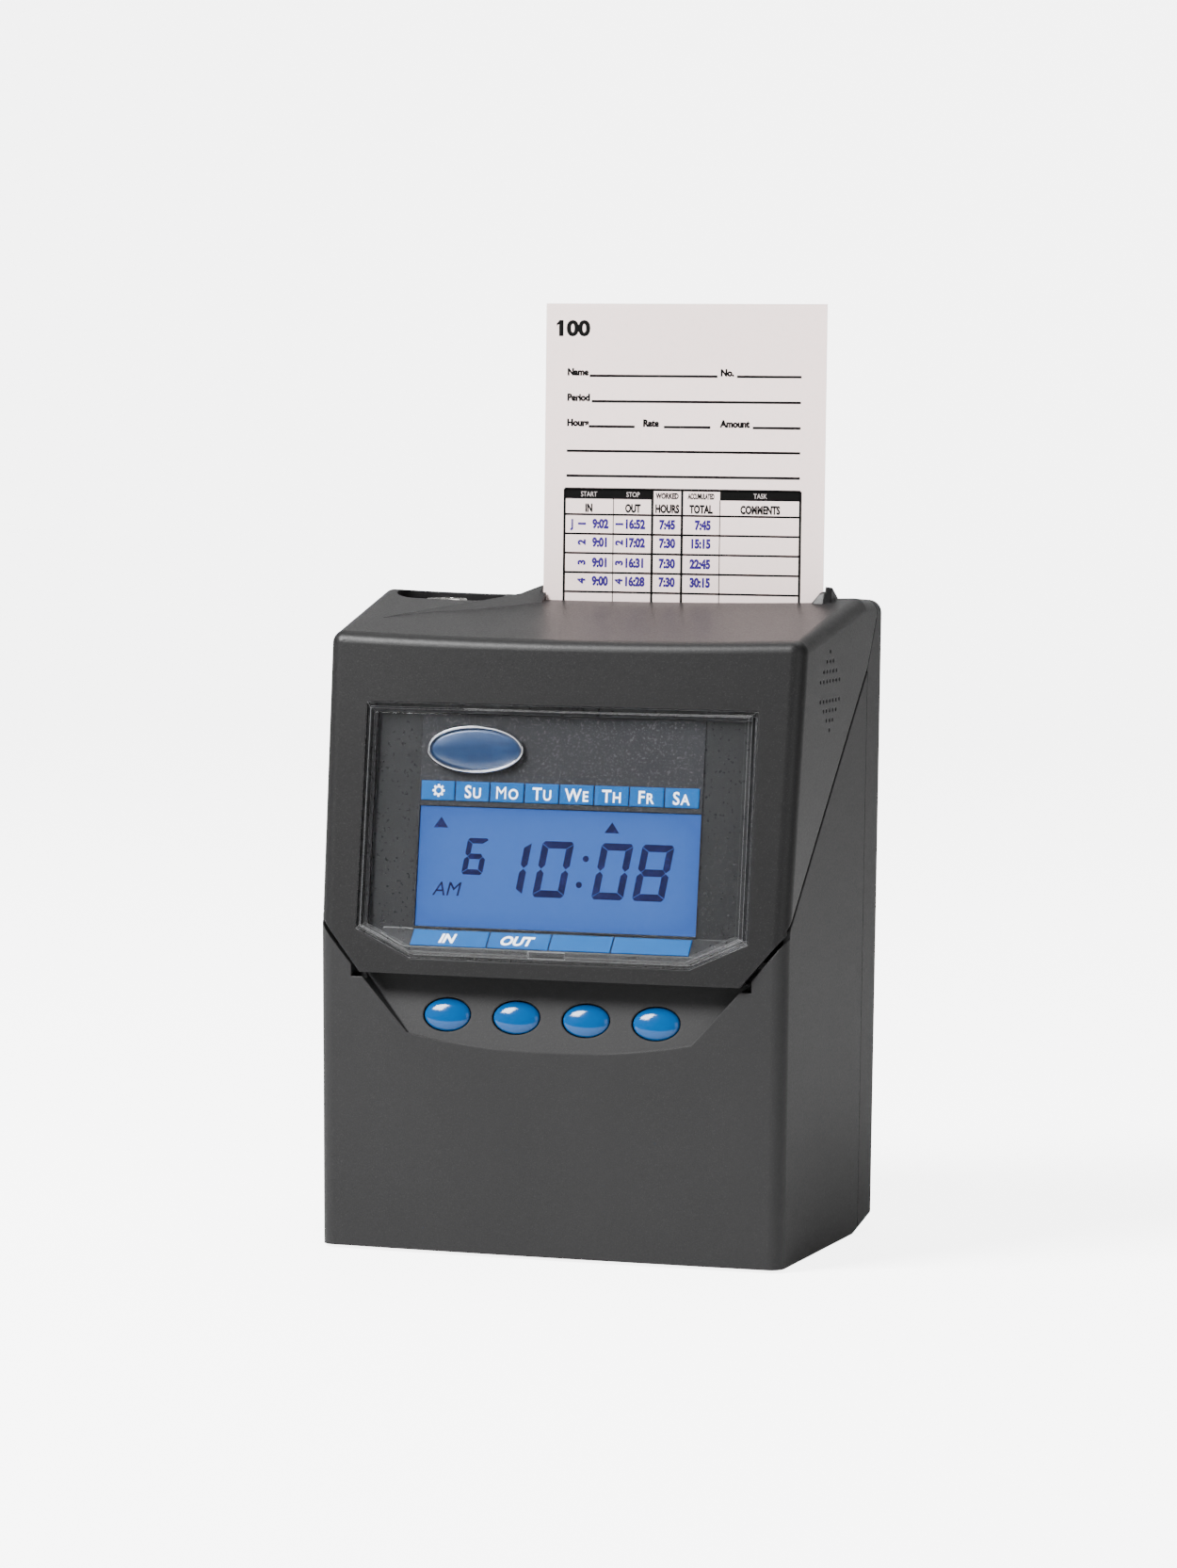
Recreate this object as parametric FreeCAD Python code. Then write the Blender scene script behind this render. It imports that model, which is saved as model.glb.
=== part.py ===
import FreeCAD, Part
import math
import os

# Punch time clock, millimetres. +Z up, the front faces -Y, the origin is on the
# resting surface under the middle of the machine.

Vec = FreeCAD.Vector
AXIS_X, AXIS_Y, AXIS_Z = Vec(1, 0, 0), Vec(0, 1, 0), Vec(0, 0, 1)

# ---- driving dimensions -------------------------------------------------
case_width = 163.6          # across the lower front face
case_depth = 108.1          # foremost point of the display window to the back plane
ridge_height = 222.5        # underside of the case to the top ridge
wall = 2.4
side_draft = 3.76           # degrees, the case widens towards the back
side_taper = 0.44           # degrees, the case widens towards the top
front_lean = 8.36           # degrees, the cover face leans back
lean_start = 108.6          # height where the leaning face meets the upright one
front_bow = 1.2
top_slope = 10.2            # degrees, the top rises to the ridge
rear_fall = 4.0             # degrees, the top behind the ridge
ridge_setback = 22.1        # ridge to back plane
top_dish = 1.4
corner_round = 5.0
top_round = 4.6
tail_run = 25.0             # sloped underside of the rear housing
tail_rise = 5.8

# parting lines between cover, lower case and rear housing
reveal = 1.4                # dark gap under the cover
seam = 0.35                 # hairline between the other shells
lip_height = 95.2           # lower edge of the cover
lip_inset = 14.5            # side of the case to the end of the lip
lip_rise = 50.0             # degrees, cover edge beside the lip
side_start = 111.5          # height of the cover edge where the side begins
side_rise = 45.9            # degrees, cover edge along the side
knee_depth = 3.0
split_setback = 19.7        # lower case / rear housing seam to back plane
hip_run, hip_rise = 9.6, 17.0   # steeper end of the cover edge

# card and its path
card_width, card_height, card_thick = 101.6, 228.6, 0.4
card_room = 2.3             # card to the right side plate
card_setback = 28.1         # card to back plane at ridge height
card_lean = 1.1             # degrees
stop_height = 6.5           # card stop, between the deck and the card
card_travel = 110.0
card_gap = 0.5              # free space on each side of the card
chute_wall = 1.2

# display window and what lies behind it
window_inset = 12.6         # side of the case to the window
window_top, window_side, window_bottom = 79.0, 1.2, -8.0   # along the face from lean_start
window_step = 19.7          # the lower edge is shorter at each end
window_rise = 2.8
window_wall = 1.5
window_bevel = 2.2
window_clear = 0.2
pan_depth = 4.6             # face to label panel
pan_wall = 1.0
pan_clear = 0.3             # window skirt to pan
sill_top, sill_bottom, sill_front = 2.2, -4.1, -0.3
glass_half, glass_low, glass_high = 50.0, 3.0, 44.4
glass_thick = 2.2
label_thick = 0.3
label_half = 50.4
day_low, day_high = 46.3, 52.9
strip_half, inner_cell = 49.6, 22.0   # the outer cells of the lower strip are wider
cell_gap = 0.5
badge_x, badge_v = -30.6, 64.0
badge_long, badge_short = 17.4, 8.3

# button recess
recess_tilt = 17.5          # degrees from upright
recess_foot = 69.8
recess_corner = 74.8
recess_foot_half = 50.4
recess_roof = 101.0
button_count, button_pitch = 4, 24.75
button_height = 80.9
button_long, button_short = 16.4, 11.2
button_clear = 0.4
button_dome = 2.6
button_travel = 1.5
flange_grow = 1.2
flange_thick = 1.0

# card feed and printer, hung from the ridge; the print line is the datum
print_drop = 30.5
feed_drop = 42.0
feed_roll_r, pinch_roll_r, shaft_r = 8.0, 5.0, 2.5
gear_module, gear_teeth, pinion_teeth = 0.8, 32, 10
gear_thick = 4.0
shaft_drop, rail_drop = 14.0, 7.8
cartridge_rise, chute_rise = 11.0, 14.0
carriage_shaft_r = 3.0
shaft_fit = 0.05            # radial running clearance
shaft_ahead = 26.0          # carriage shaft ahead of the card
rail_ahead = 40.0
belt_ahead = 36.0
belt_drop = 10.0            # belt below the carriage shaft
belt_width, belt_thick, belt_slack = 5.0, 0.8, 0.2
pulley_r = 5.2
pulley_inset_left, pulley_inset_right = 9.0, 15.2   # from the side plates
home_room, end_room = 17.0, 4.0    # left pulley to home, end of travel to right pulley
plate_left = -44.0
plate_room = 4.6            # right side plate to the side of the case
plate_thick = 1.5
motor_r, motor_length = 14.0, 19.0
ribbon_height = 8.0

# lock
lock_inset, lock_setback = 17.8, 24.0
lock_body_r, lock_head_r, lock_plug_r = 6.0, 7.5, 4.0
lock_depth = 20.0
pocket_length, pocket_width, pocket_depth = 40.0, 20.0, 5.4
cam_length, cam_width, cam_thick = 16.0, 8.0, 2.0

# cover hinge, hidden behind the lip
hinge_depth, hinge_height = 2.2, 97.0
hinge_pin_r = 1.0
lug_inset, lug_thick, lug_r = 7.3, 3.0, 1.8
ear_space, ear_thick, ear_r = 5.0, 3.0, 1.4
swing_r, swing_start, swing_length = 4.4, 0.4, 5.6   # room for the cover's lower corners as it tilts

# feet, mounts and inlet
foot_r, foot_height = 6.0, 1.0
foot_front, foot_rear = 14.0, 68.0
keyhole_spacing, keyhole_height = 100.0, 170.0
keyhole_r, keyhole_slot_r, keyhole_drop = 4.5, 2.3, 8.0
jack_bore_r, jack_depth = 3.0, 9.0
jack_inset, jack_height = 29.8, 26.0
sounder_r, sounder_thick = 13.5, 3.0
sounder_out = 0.8           # inner side wall at the vents, wider than the front
fixing_spacing, fixing_height, fixing_r = 100.0, 40.0, 2.2
screw_r, screw_length, screw_head_r, screw_head = 1.5, 10.0, 3.0, 1.2
jack_face_r = 5.0
throat_clear = 0.5
chute_foot = 10.0           # deck to the lower end of the chute
post_out, post_heights = 0.5, (26.0, 140.0)
foot_inset, battery_inset = 19.8, 19.8
switch_high = 3.2
lcd_board_front = 10.2      # display board behind the face
lcd_posts = [(x, v) for x in (-53.5, 53.5) for v in (1.6, 47.0)]
lock_head = 2.5
roller_inset, roller_spacing = 26.7, 48.0   # from the card's left edge
roller_half = 7.0
motor_boss_r = 4.0
platform_gap = 0.3
nose_ahead = 2.9
ribbon_ahead, ribbon_thick = 2.3, 0.3
cartridge_high = 5.0
knob_inset, knob_ahead = 4.0, 24.0
post_r, column_r, standoff_r = 3.2, 4.0, 3.0
deck_height, deck_thick, seat_gap = 87.0, 1.5, 0.3
column_inset = 7.2          # right-hand deck columns, from the side plate
board_height, board_left, board_room = 10.0, -27.0, 8.0
switch_board = 10.0         # button board behind the panel
vent_r = 0.75
vent_pitch, vent_row_pitch = 3.4, 3.35
vent_setback, vent_drop = 61.5, 29.9

# ---- derived positions --------------------------------------------------
lean, slope, fall = math.radians(front_lean), math.radians(top_slope), math.radians(rear_fall)
chin_nose = (lean_start - lip_height) * math.tan(lean) + front_bow
window_front = window_rise + front_bow / 3
window_nose = window_front * math.cos(lean) - (window_bottom + window_bevel) * math.sin(lean)
base_z = foot_height
back_y = case_depth / 2
front_y = max(chin_nose, window_nose) - back_y


def fy(distance):
    """Y of a point that far behind the lower front face."""
    return front_y + distance


def hz(height):
    """Z of a point that far above the underside of the case."""
    return base_z + height


depth = back_y - front_y
ridge_y = back_y - ridge_setback
ridge_z = base_z + ridge_height
split_y = back_y - split_setback
crown_y = split_y + hip_run
card_y = back_y - card_setback
side_x = case_width / 2
plate_right = side_x - plate_room
card_right = plate_right - card_room
card_left = card_right - card_width
card_top = deck_height + deck_thick + seat_gap + stop_height + card_height
print_height = ridge_height - print_drop
feed_height = print_height - feed_drop
shaft_height, rail_top = print_height - shaft_drop, print_height - rail_drop
belt_height, platform_low = shaft_height - belt_drop, rail_top + platform_gap
cartridge_low, chute_top = print_height + cartridge_rise, print_height + chute_rise
chute_low = deck_height + chute_foot
pulley_left, pulley_right = plate_left + pulley_inset_left, plate_right - pulley_inset_right
home_x, knob_x = pulley_left + home_room, pulley_right - knob_inset
carriage_travel = pulley_right - end_room - home_x
roller_places = (card_left + roller_inset, card_left + roller_inset + roller_spacing)
window_half = side_x - window_inset
window_bottom_half = window_half - window_step
lip_half = side_x - lip_inset
lug_x = lip_half - lug_inset
ear_x = lug_x + ear_space
lock_x, jack_x, battery_x = lock_inset - side_x, jack_inset - side_x, battery_inset - side_x
foot_x, post_x, sounder_face = side_x - foot_inset, side_x + post_out, side_x + sounder_out
vent_height = ridge_height - vent_drop
lock_y = back_y - lock_setback
knob_y = card_y - knob_ahead
pocket_floor = ridge_z - pocket_depth
hinge_y, hinge_z = front_y + hinge_depth, base_z + hinge_height
label_top = window_top - window_wall - pan_clear - pan_wall - 0.2
feed_ahead = feed_roll_r + card_thick / 2 + 0.15
pinch_ahead = pinch_roll_r + card_thick / 2 + 0.15
pinion_ahead = feed_ahead + gear_module * (gear_teeth + pinion_teeth) / 2 + 0.1
column_right = plate_right - column_inset
board_right = column_right - board_room
column_places = [(x, fy(y)) for x in (pulley_left, column_right) for y in (56.0, 80.0)]
standoff_places = [(x, fy(y)) for x in (board_left + 4.0, board_right - 4.0) for y in (16.0, 60.0)]
post_places = [(side * post_x, hz(height)) for side in (-1, 1) for height in post_heights]
flange_start = wall + 0.2   # button flange behind the panel, at rest
stem_length = 1.2
catch_z = pocket_floor - lock_depth - 0.4
button_up = (button_height - recess_foot) / math.cos(math.radians(recess_tilt))
big = 300.0


# ---- shape helpers ------------------------------------------------------
def box(x0, x1, y0, y1, z0, z1):
    return Part.makeBox(x1 - x0, y1 - y0, z1 - z0, Vec(x0, y0, z0))


def rod(radius, start, direction, length):
    return Part.makeCylinder(radius, length, Vec(*start), direction)


def face_of(points):
    return Part.Face(Part.makePolygon([Vec(*p) for p in points] + [Vec(*points[0])]))


def prism_x(points_yz, x0, x1):
    return face_of([(x0, y, z) for y, z in points_yz]).extrude(Vec(x1 - x0, 0, 0))


def prism_y(points_xz, y0, y1):
    return face_of([(x, y0, z) for x, z in points_xz]).extrude(Vec(0, y1 - y0, 0))


def prism_z(points_xy, z0, z1):
    return face_of([(x, y, z0) for x, y in points_xy]).extrude(Vec(0, 0, z1 - z0))


def fuse(shapes):
    joined = shapes[0]
    for other in shapes[1:]:
        joined = joined.fuse(other)
    return joined.removeSplitter()


def cut(shape, tools):
    for tool in tools:
        shape = shape.cut(tool)
    return shape


def biggest(shape):
    return max(shape.Solids, key=lambda solid: solid.Volume)


def inset(points, amount):
    """Convex outline moved inwards (negative: outwards), points counter-clockwise."""
    lines = []
    for (ax, ay), (bx, by) in zip(points, points[1:] + points[:1]):
        length = math.hypot(bx - ax, by - ay)
        nx, ny = -(by - ay) / length, (bx - ax) / length
        lines.append((nx, ny, nx * ax + ny * ay + amount))
    corners = []
    for (n1x, n1y, c1), (n2x, n2y, c2) in zip(lines[-1:] + lines[:-1], lines):
        det = n1x * n2y - n2x * n1y
        corners.append(((c1 * n2y - c2 * n1y) / det, (n1x * c2 - n2x * c1) / det))
    return corners


def obround_z(length, width, x, y, z0, z1):
    r = width / 2
    half = length / 2 - r
    middle = box(x - half, x + half, y - r, y + r, z0, z1)
    ends = [rod(r, (x + side * half, y, z0), AXIS_Z, z1 - z0) for side in (-1, 1)]
    return fuse([middle] + ends)


def edges_where(shape, test):
    return [edge for edge in shape.Edges if test(edge.CenterOfMass, edge)]


def on_face(shape):
    """From face coordinates (x, distance behind the face, height along it) to the part."""
    shape.rotate(Vec(0, 0, 0), AXIS_X, -front_lean)
    shape.translate(Vec(0, front_y, hz(lean_start)))
    return shape


def on_path(shape):
    """Leans a piece of the card path with the card, about the card at the ridge."""
    shape.rotate(Vec(0, card_y, ridge_z), AXIS_X, -card_lean)
    return shape


def on_recess(shape):
    """From recess coordinates (x, depth behind the panel, height along it) to the part."""
    shape.rotate(Vec(0, 0, 0), AXIS_X, -recess_tilt)
    shape.translate(Vec(0, front_y, hz(recess_foot)))
    return shape


# ---- the housing form ---------------------------------------------------
def half_width(y, z):
    draft, taper = math.tan(math.radians(side_draft)), math.tan(math.radians(side_taper))
    return case_width / 2 + draft * (y - front_y) + taper * (z - base_z)


def arc_radius(half, rise):
    return (half * half + rise * rise) / (2 * rise)


def tapered_block(shrink):
    y0, y1, z0, z1 = front_y - 20, back_y - shrink, base_z + shrink, ridge_z + 12

    def corner(side, y, z):
        return Vec(side * (half_width(y, z) - shrink), y, z)

    rings = []
    for z in (z0, z1):
        rings.append([corner(-1, y0, z), corner(1, y0, z), corner(1, y1, z), corner(-1, y1, z)])
    low, high = rings
    quads = [low, high]
    for i in range(4):
        j = (i + 1) % 4
        quads.append([low[i], low[j], high[j], high[i]])
    faces = [Part.Face(Part.makePolygon(quad + quad[:1])) for quad in quads]
    solid = Part.makeSolid(Part.makeShell(faces))
    if solid.Volume < 0:
        solid.reverse()
    return solid


def bowed_front(shrink, leaning):
    radius = arc_radius(case_width / 2, front_bow)
    angle = lean if leaning else 0.0
    inward = Vec(0, math.cos(angle), -math.sin(angle))
    along = Vec(0, math.sin(angle), math.cos(angle))
    start = Vec(0, front_y, hz(lean_start)) + inward * (radius - front_bow) - along * big
    return Part.makeCylinder(radius - shrink, 2 * big, start, along)


def dish_cutter(shrink, angle, reach):
    radius = arc_radius(half_width(ridge_y, ridge_z), top_dish)
    upward = Vec(0, -math.sin(angle), math.cos(angle))
    along = Vec(0, math.cos(angle), math.sin(angle))
    start = Vec(0, ridge_y, ridge_z) + upward * (radius - top_dish) - along * reach
    return Part.makeCylinder(radius + shrink, 2 * reach, start, along)


def tail_cutter(shrink):
    angle = math.atan2(tail_rise, tail_run)
    lift = shrink / math.cos(angle)
    run = [(back_y - tail_run - 60, base_z + lift - 60 * math.tan(angle)),
           (back_y + 20, base_z + lift + (tail_run + 20) * math.tan(angle)),
           (back_y + 20, base_z - 60), (back_y - tail_run - 60, base_z - 60)]
    return prism_x(run, -big, big)


def housing_form(shrink, leaning):
    """The whole housing as one solid drawn in by `shrink`, its front upright or leaning."""
    form = tapered_block(shrink).common(bowed_front(shrink, leaning))
    form = cut(form, [dish_cutter(shrink, slope, 160), dish_cutter(shrink, -fall, 160)])
    form = biggest(form.cut(tail_cutter(shrink)))
    tall = edges_where(form, lambda c, e: abs(c.x) > case_width / 2 - 6 and e.BoundBox.ZLength > 40
                       and (c.y < front_y + 30 or c.y > back_y - shrink - 1))
    form = form.makeFillet(corner_round - shrink, tall)
    rim = edges_where(form, lambda c, e: e.BoundBox.ZMin > hz(199)
                      and not (abs(c.y - ridge_y) < 1 and e.BoundBox.YLength < 2))
    return form.makeFillet(top_round - shrink, rim)


def cover_zone(grow):
    """Space that belongs to the cover, grown by `grow` below and behind its edge."""
    rise = math.radians(lip_rise)
    low, high = hz(lip_height) - grow, hz(lip_height + 50)

    def edge_x(z):
        return lip_half + (z - hz(lip_height) + grow / math.cos(rise)) / math.tan(rise)

    outline = [(-edge_x(high), high), (-edge_x(low), low), (edge_x(low), low),
               (edge_x(high), high), (edge_x(high), big), (-edge_x(high), big)]
    seen_from_front = prism_y(outline, front_y - 30, back_y + 30)
    side = math.radians(side_rise)
    knee = fy(knee_depth) + grow

    def edge_z(y):
        return hz(side_start) + math.tan(side) * (y - front_y) - grow / math.cos(side)

    hip_z = edge_z(split_y)
    outline = [(front_y - 30, hz(80)), (knee, hz(80)), (knee, edge_z(knee)), (split_y, hip_z),
               (crown_y + grow, hip_z + hip_rise), (crown_y + grow, big), (front_y - 30, big)]
    return seen_from_front.common(prism_x(outline, -big, big))


def recess_zone(grow):
    """The button recess cut into the lower front, grown by `grow` for its walls."""
    rise = math.radians(lip_rise)
    top = recess_roof + grow
    top_half = recess_foot_half + (top - recess_corner) / math.tan(rise) * 1.06
    side = grow / math.sin(rise)
    foot_z = hz(recess_foot) - grow
    corner_z = hz(recess_corner) - grow * 0.4
    arc = Part.Arc(Vec(-recess_foot_half - side, front_y - 12, corner_z), Vec(0, front_y - 12, foot_z),
                   Vec(recess_foot_half + side, front_y - 12, corner_z)).toShape()
    right = Vec(recess_foot_half + side, front_y - 12, corner_z)
    left = Vec(-recess_foot_half - side, front_y - 12, corner_z)
    upper_right = Vec(top_half + side, front_y - 12, hz(top))
    upper_left = Vec(-top_half - side, front_y - 12, hz(top))
    wire = Part.Wire([arc, Part.makeLine(right, upper_right),
                      Part.makeLine(upper_right, upper_left), Part.makeLine(upper_left, left)])
    column = Part.Face(wire).extrude(Vec(0, 40, 0))
    tilt = math.radians(recess_tilt)
    foot_y = front_y - front_bow - 0.05 + grow / math.cos(tilt)
    wedge = [(front_y - 14, hz(40)), (foot_y - math.tan(tilt) * (recess_foot - 40), hz(40)),
             (foot_y + math.tan(tilt) * (top - recess_foot), hz(top)), (front_y - 14, hz(top))]
    return column.common(prism_x(wedge, -big, big))


def crown_z(x, y):
    """Height of the dished top."""
    half = half_width(ridge_y, ridge_z)
    sag = top_dish * (1 - (x / half) ** 2)
    if y < ridge_y:
        return ridge_z - math.tan(slope) * (ridge_y - y) - sag
    return ridge_z - math.tan(fall) * (y - ridge_y) - sag


def face_y(x, height):
    """Y of the leaning cover face."""
    bow = front_bow * (1 - (2 * x / case_width) ** 2)
    return front_y + math.tan(lean) * (height - lean_start) - bow


def path_point(ahead, height):
    """(y, z) of a point that far in front of the leaning card."""
    dy, dz = -ahead, hz(height) - ridge_z
    tilt = math.radians(card_lean)
    return (card_y + dy * math.cos(tilt) + dz * math.sin(tilt),
            ridge_z - dy * math.sin(tilt) + dz * math.cos(tilt))


# ---- outer shells -------------------------------------------------------
slot_clear = 0.8            # card edge and face to the slot in the cover
notch = box(card_left - slot_clear, card_right + slot_clear, card_y - slot_clear, back_y, hz(190), big)
window_outline = [(-window_bottom_half, window_bottom), (window_bottom_half, window_bottom),
                  (window_half, window_side), (window_half, window_top),
                  (-window_half, window_top), (-window_half, window_side)]
tab_x, tab_heights, tab_screw_r = window_half + 5.4, (14.0, 64.0), 1.2
tab_front = 2.9             # front of the bezel flange behind the face


def wing(sections):
    """Card guide: a raised crescent through (foot, crest, heel) sections on the top."""
    wires = []
    for (toe_x, foot), (crest_x, crest, lift), (heel_x, heel) in sections:
        corners = [Vec(toe_x, fy(foot), crown_z(toe_x, fy(foot)) - 1.0),
                   Vec(crest_x, fy(crest), crown_z(crest_x, fy(crest)) + lift),
                   Vec(heel_x, fy(heel), crown_z(heel_x, fy(heel)) - 1.0)]
        wires.append(Part.makePolygon(corners + corners[:1]))
    return Part.makeLoft(wires, True, True)


def side_vents():
    holes = []
    for row in (-4, -3, -2, -1, 1, 2, 3, 4):
        per_row = 9 - 2 * abs(row)
        for k in range(per_row):
            y = back_y - vent_setback + (k - (per_row - 1) / 2) * vent_pitch
            z = hz(vent_height) + row * vent_row_pitch
            holes.append(rod(vent_r, (case_width / 2 - 6, y, z), AXIS_X, 20))
    return Part.makeCompound(holes)


def make_front_cover():
    outer, inner = housing_form(0, True), housing_form(wall, True)
    zone = cover_zone(0)
    shell = outer.cut(inner).common(zone)
    pocket_x = lock_x + 2
    pocket_skin = obround_z(pocket_length + 2 * wall, pocket_width + 2 * wall, pocket_x, lock_y,
                            pocket_floor - wall, big).common(outer)
    wall_x = sounder_face
    vent_y, vent_z = back_y - vent_setback, hz(vent_height)
    collar = rod(sounder_r + 1.3, (wall_x - sounder_thick, vent_y, vent_z), AXIS_X, 8)
    collar = collar.cut(rod(sounder_r + 0.1, (wall_x - sounder_thick - 1, vent_y, vent_z), AXIS_X, 10))
    bosses = []
    for side in (-1, 1):
        for v in tab_heights:
            bosses.append(on_face(rod(2.4, (side * tab_x, 1.0, v), AXIS_Y, tab_front - 1.0)))
    lugs = []
    for side in (-1, 1):
        x0 = lug_x if side > 0 else -lug_x - lug_thick
        eye = rod(lug_r, (x0, hinge_y, hinge_z), AXIS_X, lug_thick)
        foot = box(x0, x0 + lug_thick, face_y(lug_x, hinge_height) + wall / 2, hinge_y,
                   hinge_z - lug_r, hinge_z + lug_r)
        lugs.append(fuse([eye, foot]))
    left = wing([((-74, 38), (-73.4, 39.2, 0.1), (-72.6, 41)),
                 ((-58, 49), (-58.6, 53.5, 0.9), (-61, 58)),
                 ((-45.5, 54.5), (-46.8, 61, 1.8), (-51, 67)),
                 ((-31.5, 64), (-34, 72.5, 2.6), (-38.5, 79)),
                 ((-27.5, 67.5), (-28.2, 79, 4.2), (-29.5, 90))])
    left = left.fuse(wing([((-27.5, 67.5), (-28.2, 79, 4.2), (-29.5, 90)),
                           ((-25.5, 68.5), (-25.5, 79, 4.6), (-25.5, 90))]))
    right = wing([((71.2, 72.6), (71.2, 73.8, 0.1), (71.2, 75)),
                  ((75.4, 72.4), (75.6, 76, 5.4), (75.6, 86)),
                  ((77.9, 73.5), (77.9, 77, 4.8), (77.9, 88))])
    shell = fuse([shell, pocket_skin, collar.common(outer)] + bosses + lugs + [left, right])
    bore = rod(lock_body_r + 0.05, (lock_x, lock_y, pocket_floor - 10), AXIS_Z, 20)
    pocket = obround_z(pocket_length, pocket_width, pocket_x, lock_y, pocket_floor, big)
    opening = on_face(prism_y(inset(window_outline, -window_clear), -8, 12))
    pins = []
    for side in (-1, 1):
        x0 = lug_x - 1 if side > 0 else -lug_x - lug_thick - 1
        pins.append(rod(hinge_pin_r + 0.02, (x0, hinge_y, hinge_z), AXIS_X, lug_thick + 2))
    screw_holes = []
    for side in (-1, 1):
        for v in tab_heights:
            screw_holes.append(on_face(rod(tab_screw_r, (side * tab_x, 0.6, v), AXIS_Y, 6)))
    shell = cut(shell, [notch, bore, pocket, opening, side_vents()] + pins + screw_holes)
    return biggest(shell)


def make_lower_case():
    outer, inner = housing_form(0, False), housing_form(wall, False)
    shell = outer.cut(inner)
    shell = shell.fuse(recess_zone(wall).common(outer))
    shell = shell.common(box(-big, big, -big, split_y - seam / 2, -10, big))
    shell = cut(shell, [recess_zone(0), cover_zone(reveal)])
    tongue = housing_form(wall + 0.3, False).cut(housing_form(wall + 1.5, False))
    tongue = tongue.common(cover_zone(reveal)).cut(cover_zone(-1.6))
    root = housing_form(wall - 0.1, False).cut(housing_form(wall + 1.5, False))
    root = root.common(cover_zone(reveal + 3.0)).cut(cover_zone(reveal))
    lip = tongue.fuse(root).common(box(-big, big, fy(9), split_y - seam / 2, -10, hz(190)))
    shell = shell.fuse(lip)
    pan_space = box(-ear_x, ear_x, fy(knee_depth), fy(knee_depth) + 3.8, hz(lip_height), hz(130))
    swing = [rod(swing_r, (x0, hinge_y, hinge_z), AXIS_X, swing_length)
             for x0 in (ear_x + swing_start, -ear_x - swing_start - swing_length)]
    shell = biggest(cut(shell, [pan_space] + swing))
    extras = []
    for x, y in column_places:
        extras.append(rod(column_r, (x, y, base_z + wall / 2), AXIS_Z, deck_height - wall / 2))
    for x, y in standoff_places:
        extras.append(rod(standoff_r, (x, y, base_z + wall / 2), AXIS_Z, board_height - wall / 2))
    for x, z in post_places:
        post = rod(post_r, (x, split_y - 22, z), AXIS_Y, back_y - split_y + 22)
        extras.append(post.common(inner))
    for k in range(button_count - 1):
        x = (k - (button_count - 2) / 2) * button_pitch
        extras.append(on_recess(rod(2.0, (x, wall / 2, button_up), AXIS_Y, switch_board - wall / 2)))
    for side in (-1, 1):
        x0 = ear_x if side > 0 else -ear_x - ear_thick
        eye = rod(ear_r, (x0, hinge_y, hinge_z), AXIS_X, ear_thick)
        arm = box(x0, x0 + ear_thick, hinge_y, fy(9.5), hinge_z - ear_r, hinge_z + ear_r)
        extras.append(fuse([eye, arm]))
    shell = fuse([shell] + extras)
    holes = []
    for k in range(button_count):
        holes.append(button_prism(k, button_clear, -20, 20))
    for side in (-1, 1):
        x0 = ear_x - 1 if side > 0 else -ear_x - ear_thick - 1
        holes.append(rod(hinge_pin_r + shaft_fit, (x0, hinge_y, hinge_z), AXIS_X, ear_thick + 2))
    for x, z in post_places:
        holes.append(rod(screw_r, (x, back_y - wall - screw_length, z), AXIS_Y, screw_length + 5))
    return biggest(cut(shell, holes))


def make_rear_housing():
    shell = housing_form(0, False).cut(housing_form(wall, False))
    shell = shell.common(box(-big, big, split_y + seam / 2, big, -10, big))
    shell = biggest(shell.cut(cover_zone(seam)))
    catch = box(lock_x - 8, lock_x + 8, lock_y + 10, back_y - wall / 2, catch_z, catch_z + 2.5)
    shell = shell.fuse(catch)
    cuts = []
    for side in (-1, 1):
        x = side * keyhole_spacing / 2
        cuts.append(rod(keyhole_r, (x, back_y - 10, hz(keyhole_height)), AXIS_Y, 20))
        cuts.append(box(x - keyhole_slot_r, x + keyhole_slot_r, back_y - 10, back_y + 10,
                        hz(keyhole_height), hz(keyhole_height) + keyhole_drop))
        cuts.append(rod(keyhole_slot_r, (x, back_y - 10, hz(keyhole_height) + keyhole_drop), AXIS_Y, 20))
        cuts.append(rod(fixing_r, (side * fixing_spacing / 2, back_y - 10, hz(fixing_height)), AXIS_Y, 20))
    for x, z in post_places:
        cuts.append(rod(screw_r + 0.1, (x, back_y - 10, z), AXIS_Y, 20))
        cuts.append(rod(screw_head_r + 0.2, (x, back_y - screw_head, z), AXIS_Y, 10))
    cuts.append(rod(jack_face_r + 0.1, (jack_x, back_y - 10, hz(jack_height)), AXIS_Y, 20))
    return biggest(cut(shell, cuts).removeSplitter())


def make_card_throat():
    """Rear half of the card mouth, fixed behind the card."""
    block = housing_form(0, False).common(
        box(card_left - throat_clear, card_right + throat_clear, card_y + slot_clear, crown_y + seam,
            hz(chute_top), big))
    tilt = [(card_y, hz(chute_top) + 6), (card_y + slot_clear, hz(chute_top) + 6),
            (card_y + slot_clear + 3.0, big), (card_y, big)]
    block = block.cut(prism_x(tilt, -big, big))
    y0, y1 = card_y + slot_clear + 5, crown_y - 2
    hollow = box(card_left + 2, card_right - 2, y0, y1, hz(chute_top) - 1, hz(chute_top) + 8)
    return block.cut(hollow)


# ---- display stack, carried by the cover --------------------------------
def face_prism(points, y0, y1):
    return on_face(prism_y(points, y0, y1))


def rectangle(x0, x1, z0, z1):
    return [(x0, z0), (x1, z0), (x1, z1), (x0, z1)]


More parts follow.
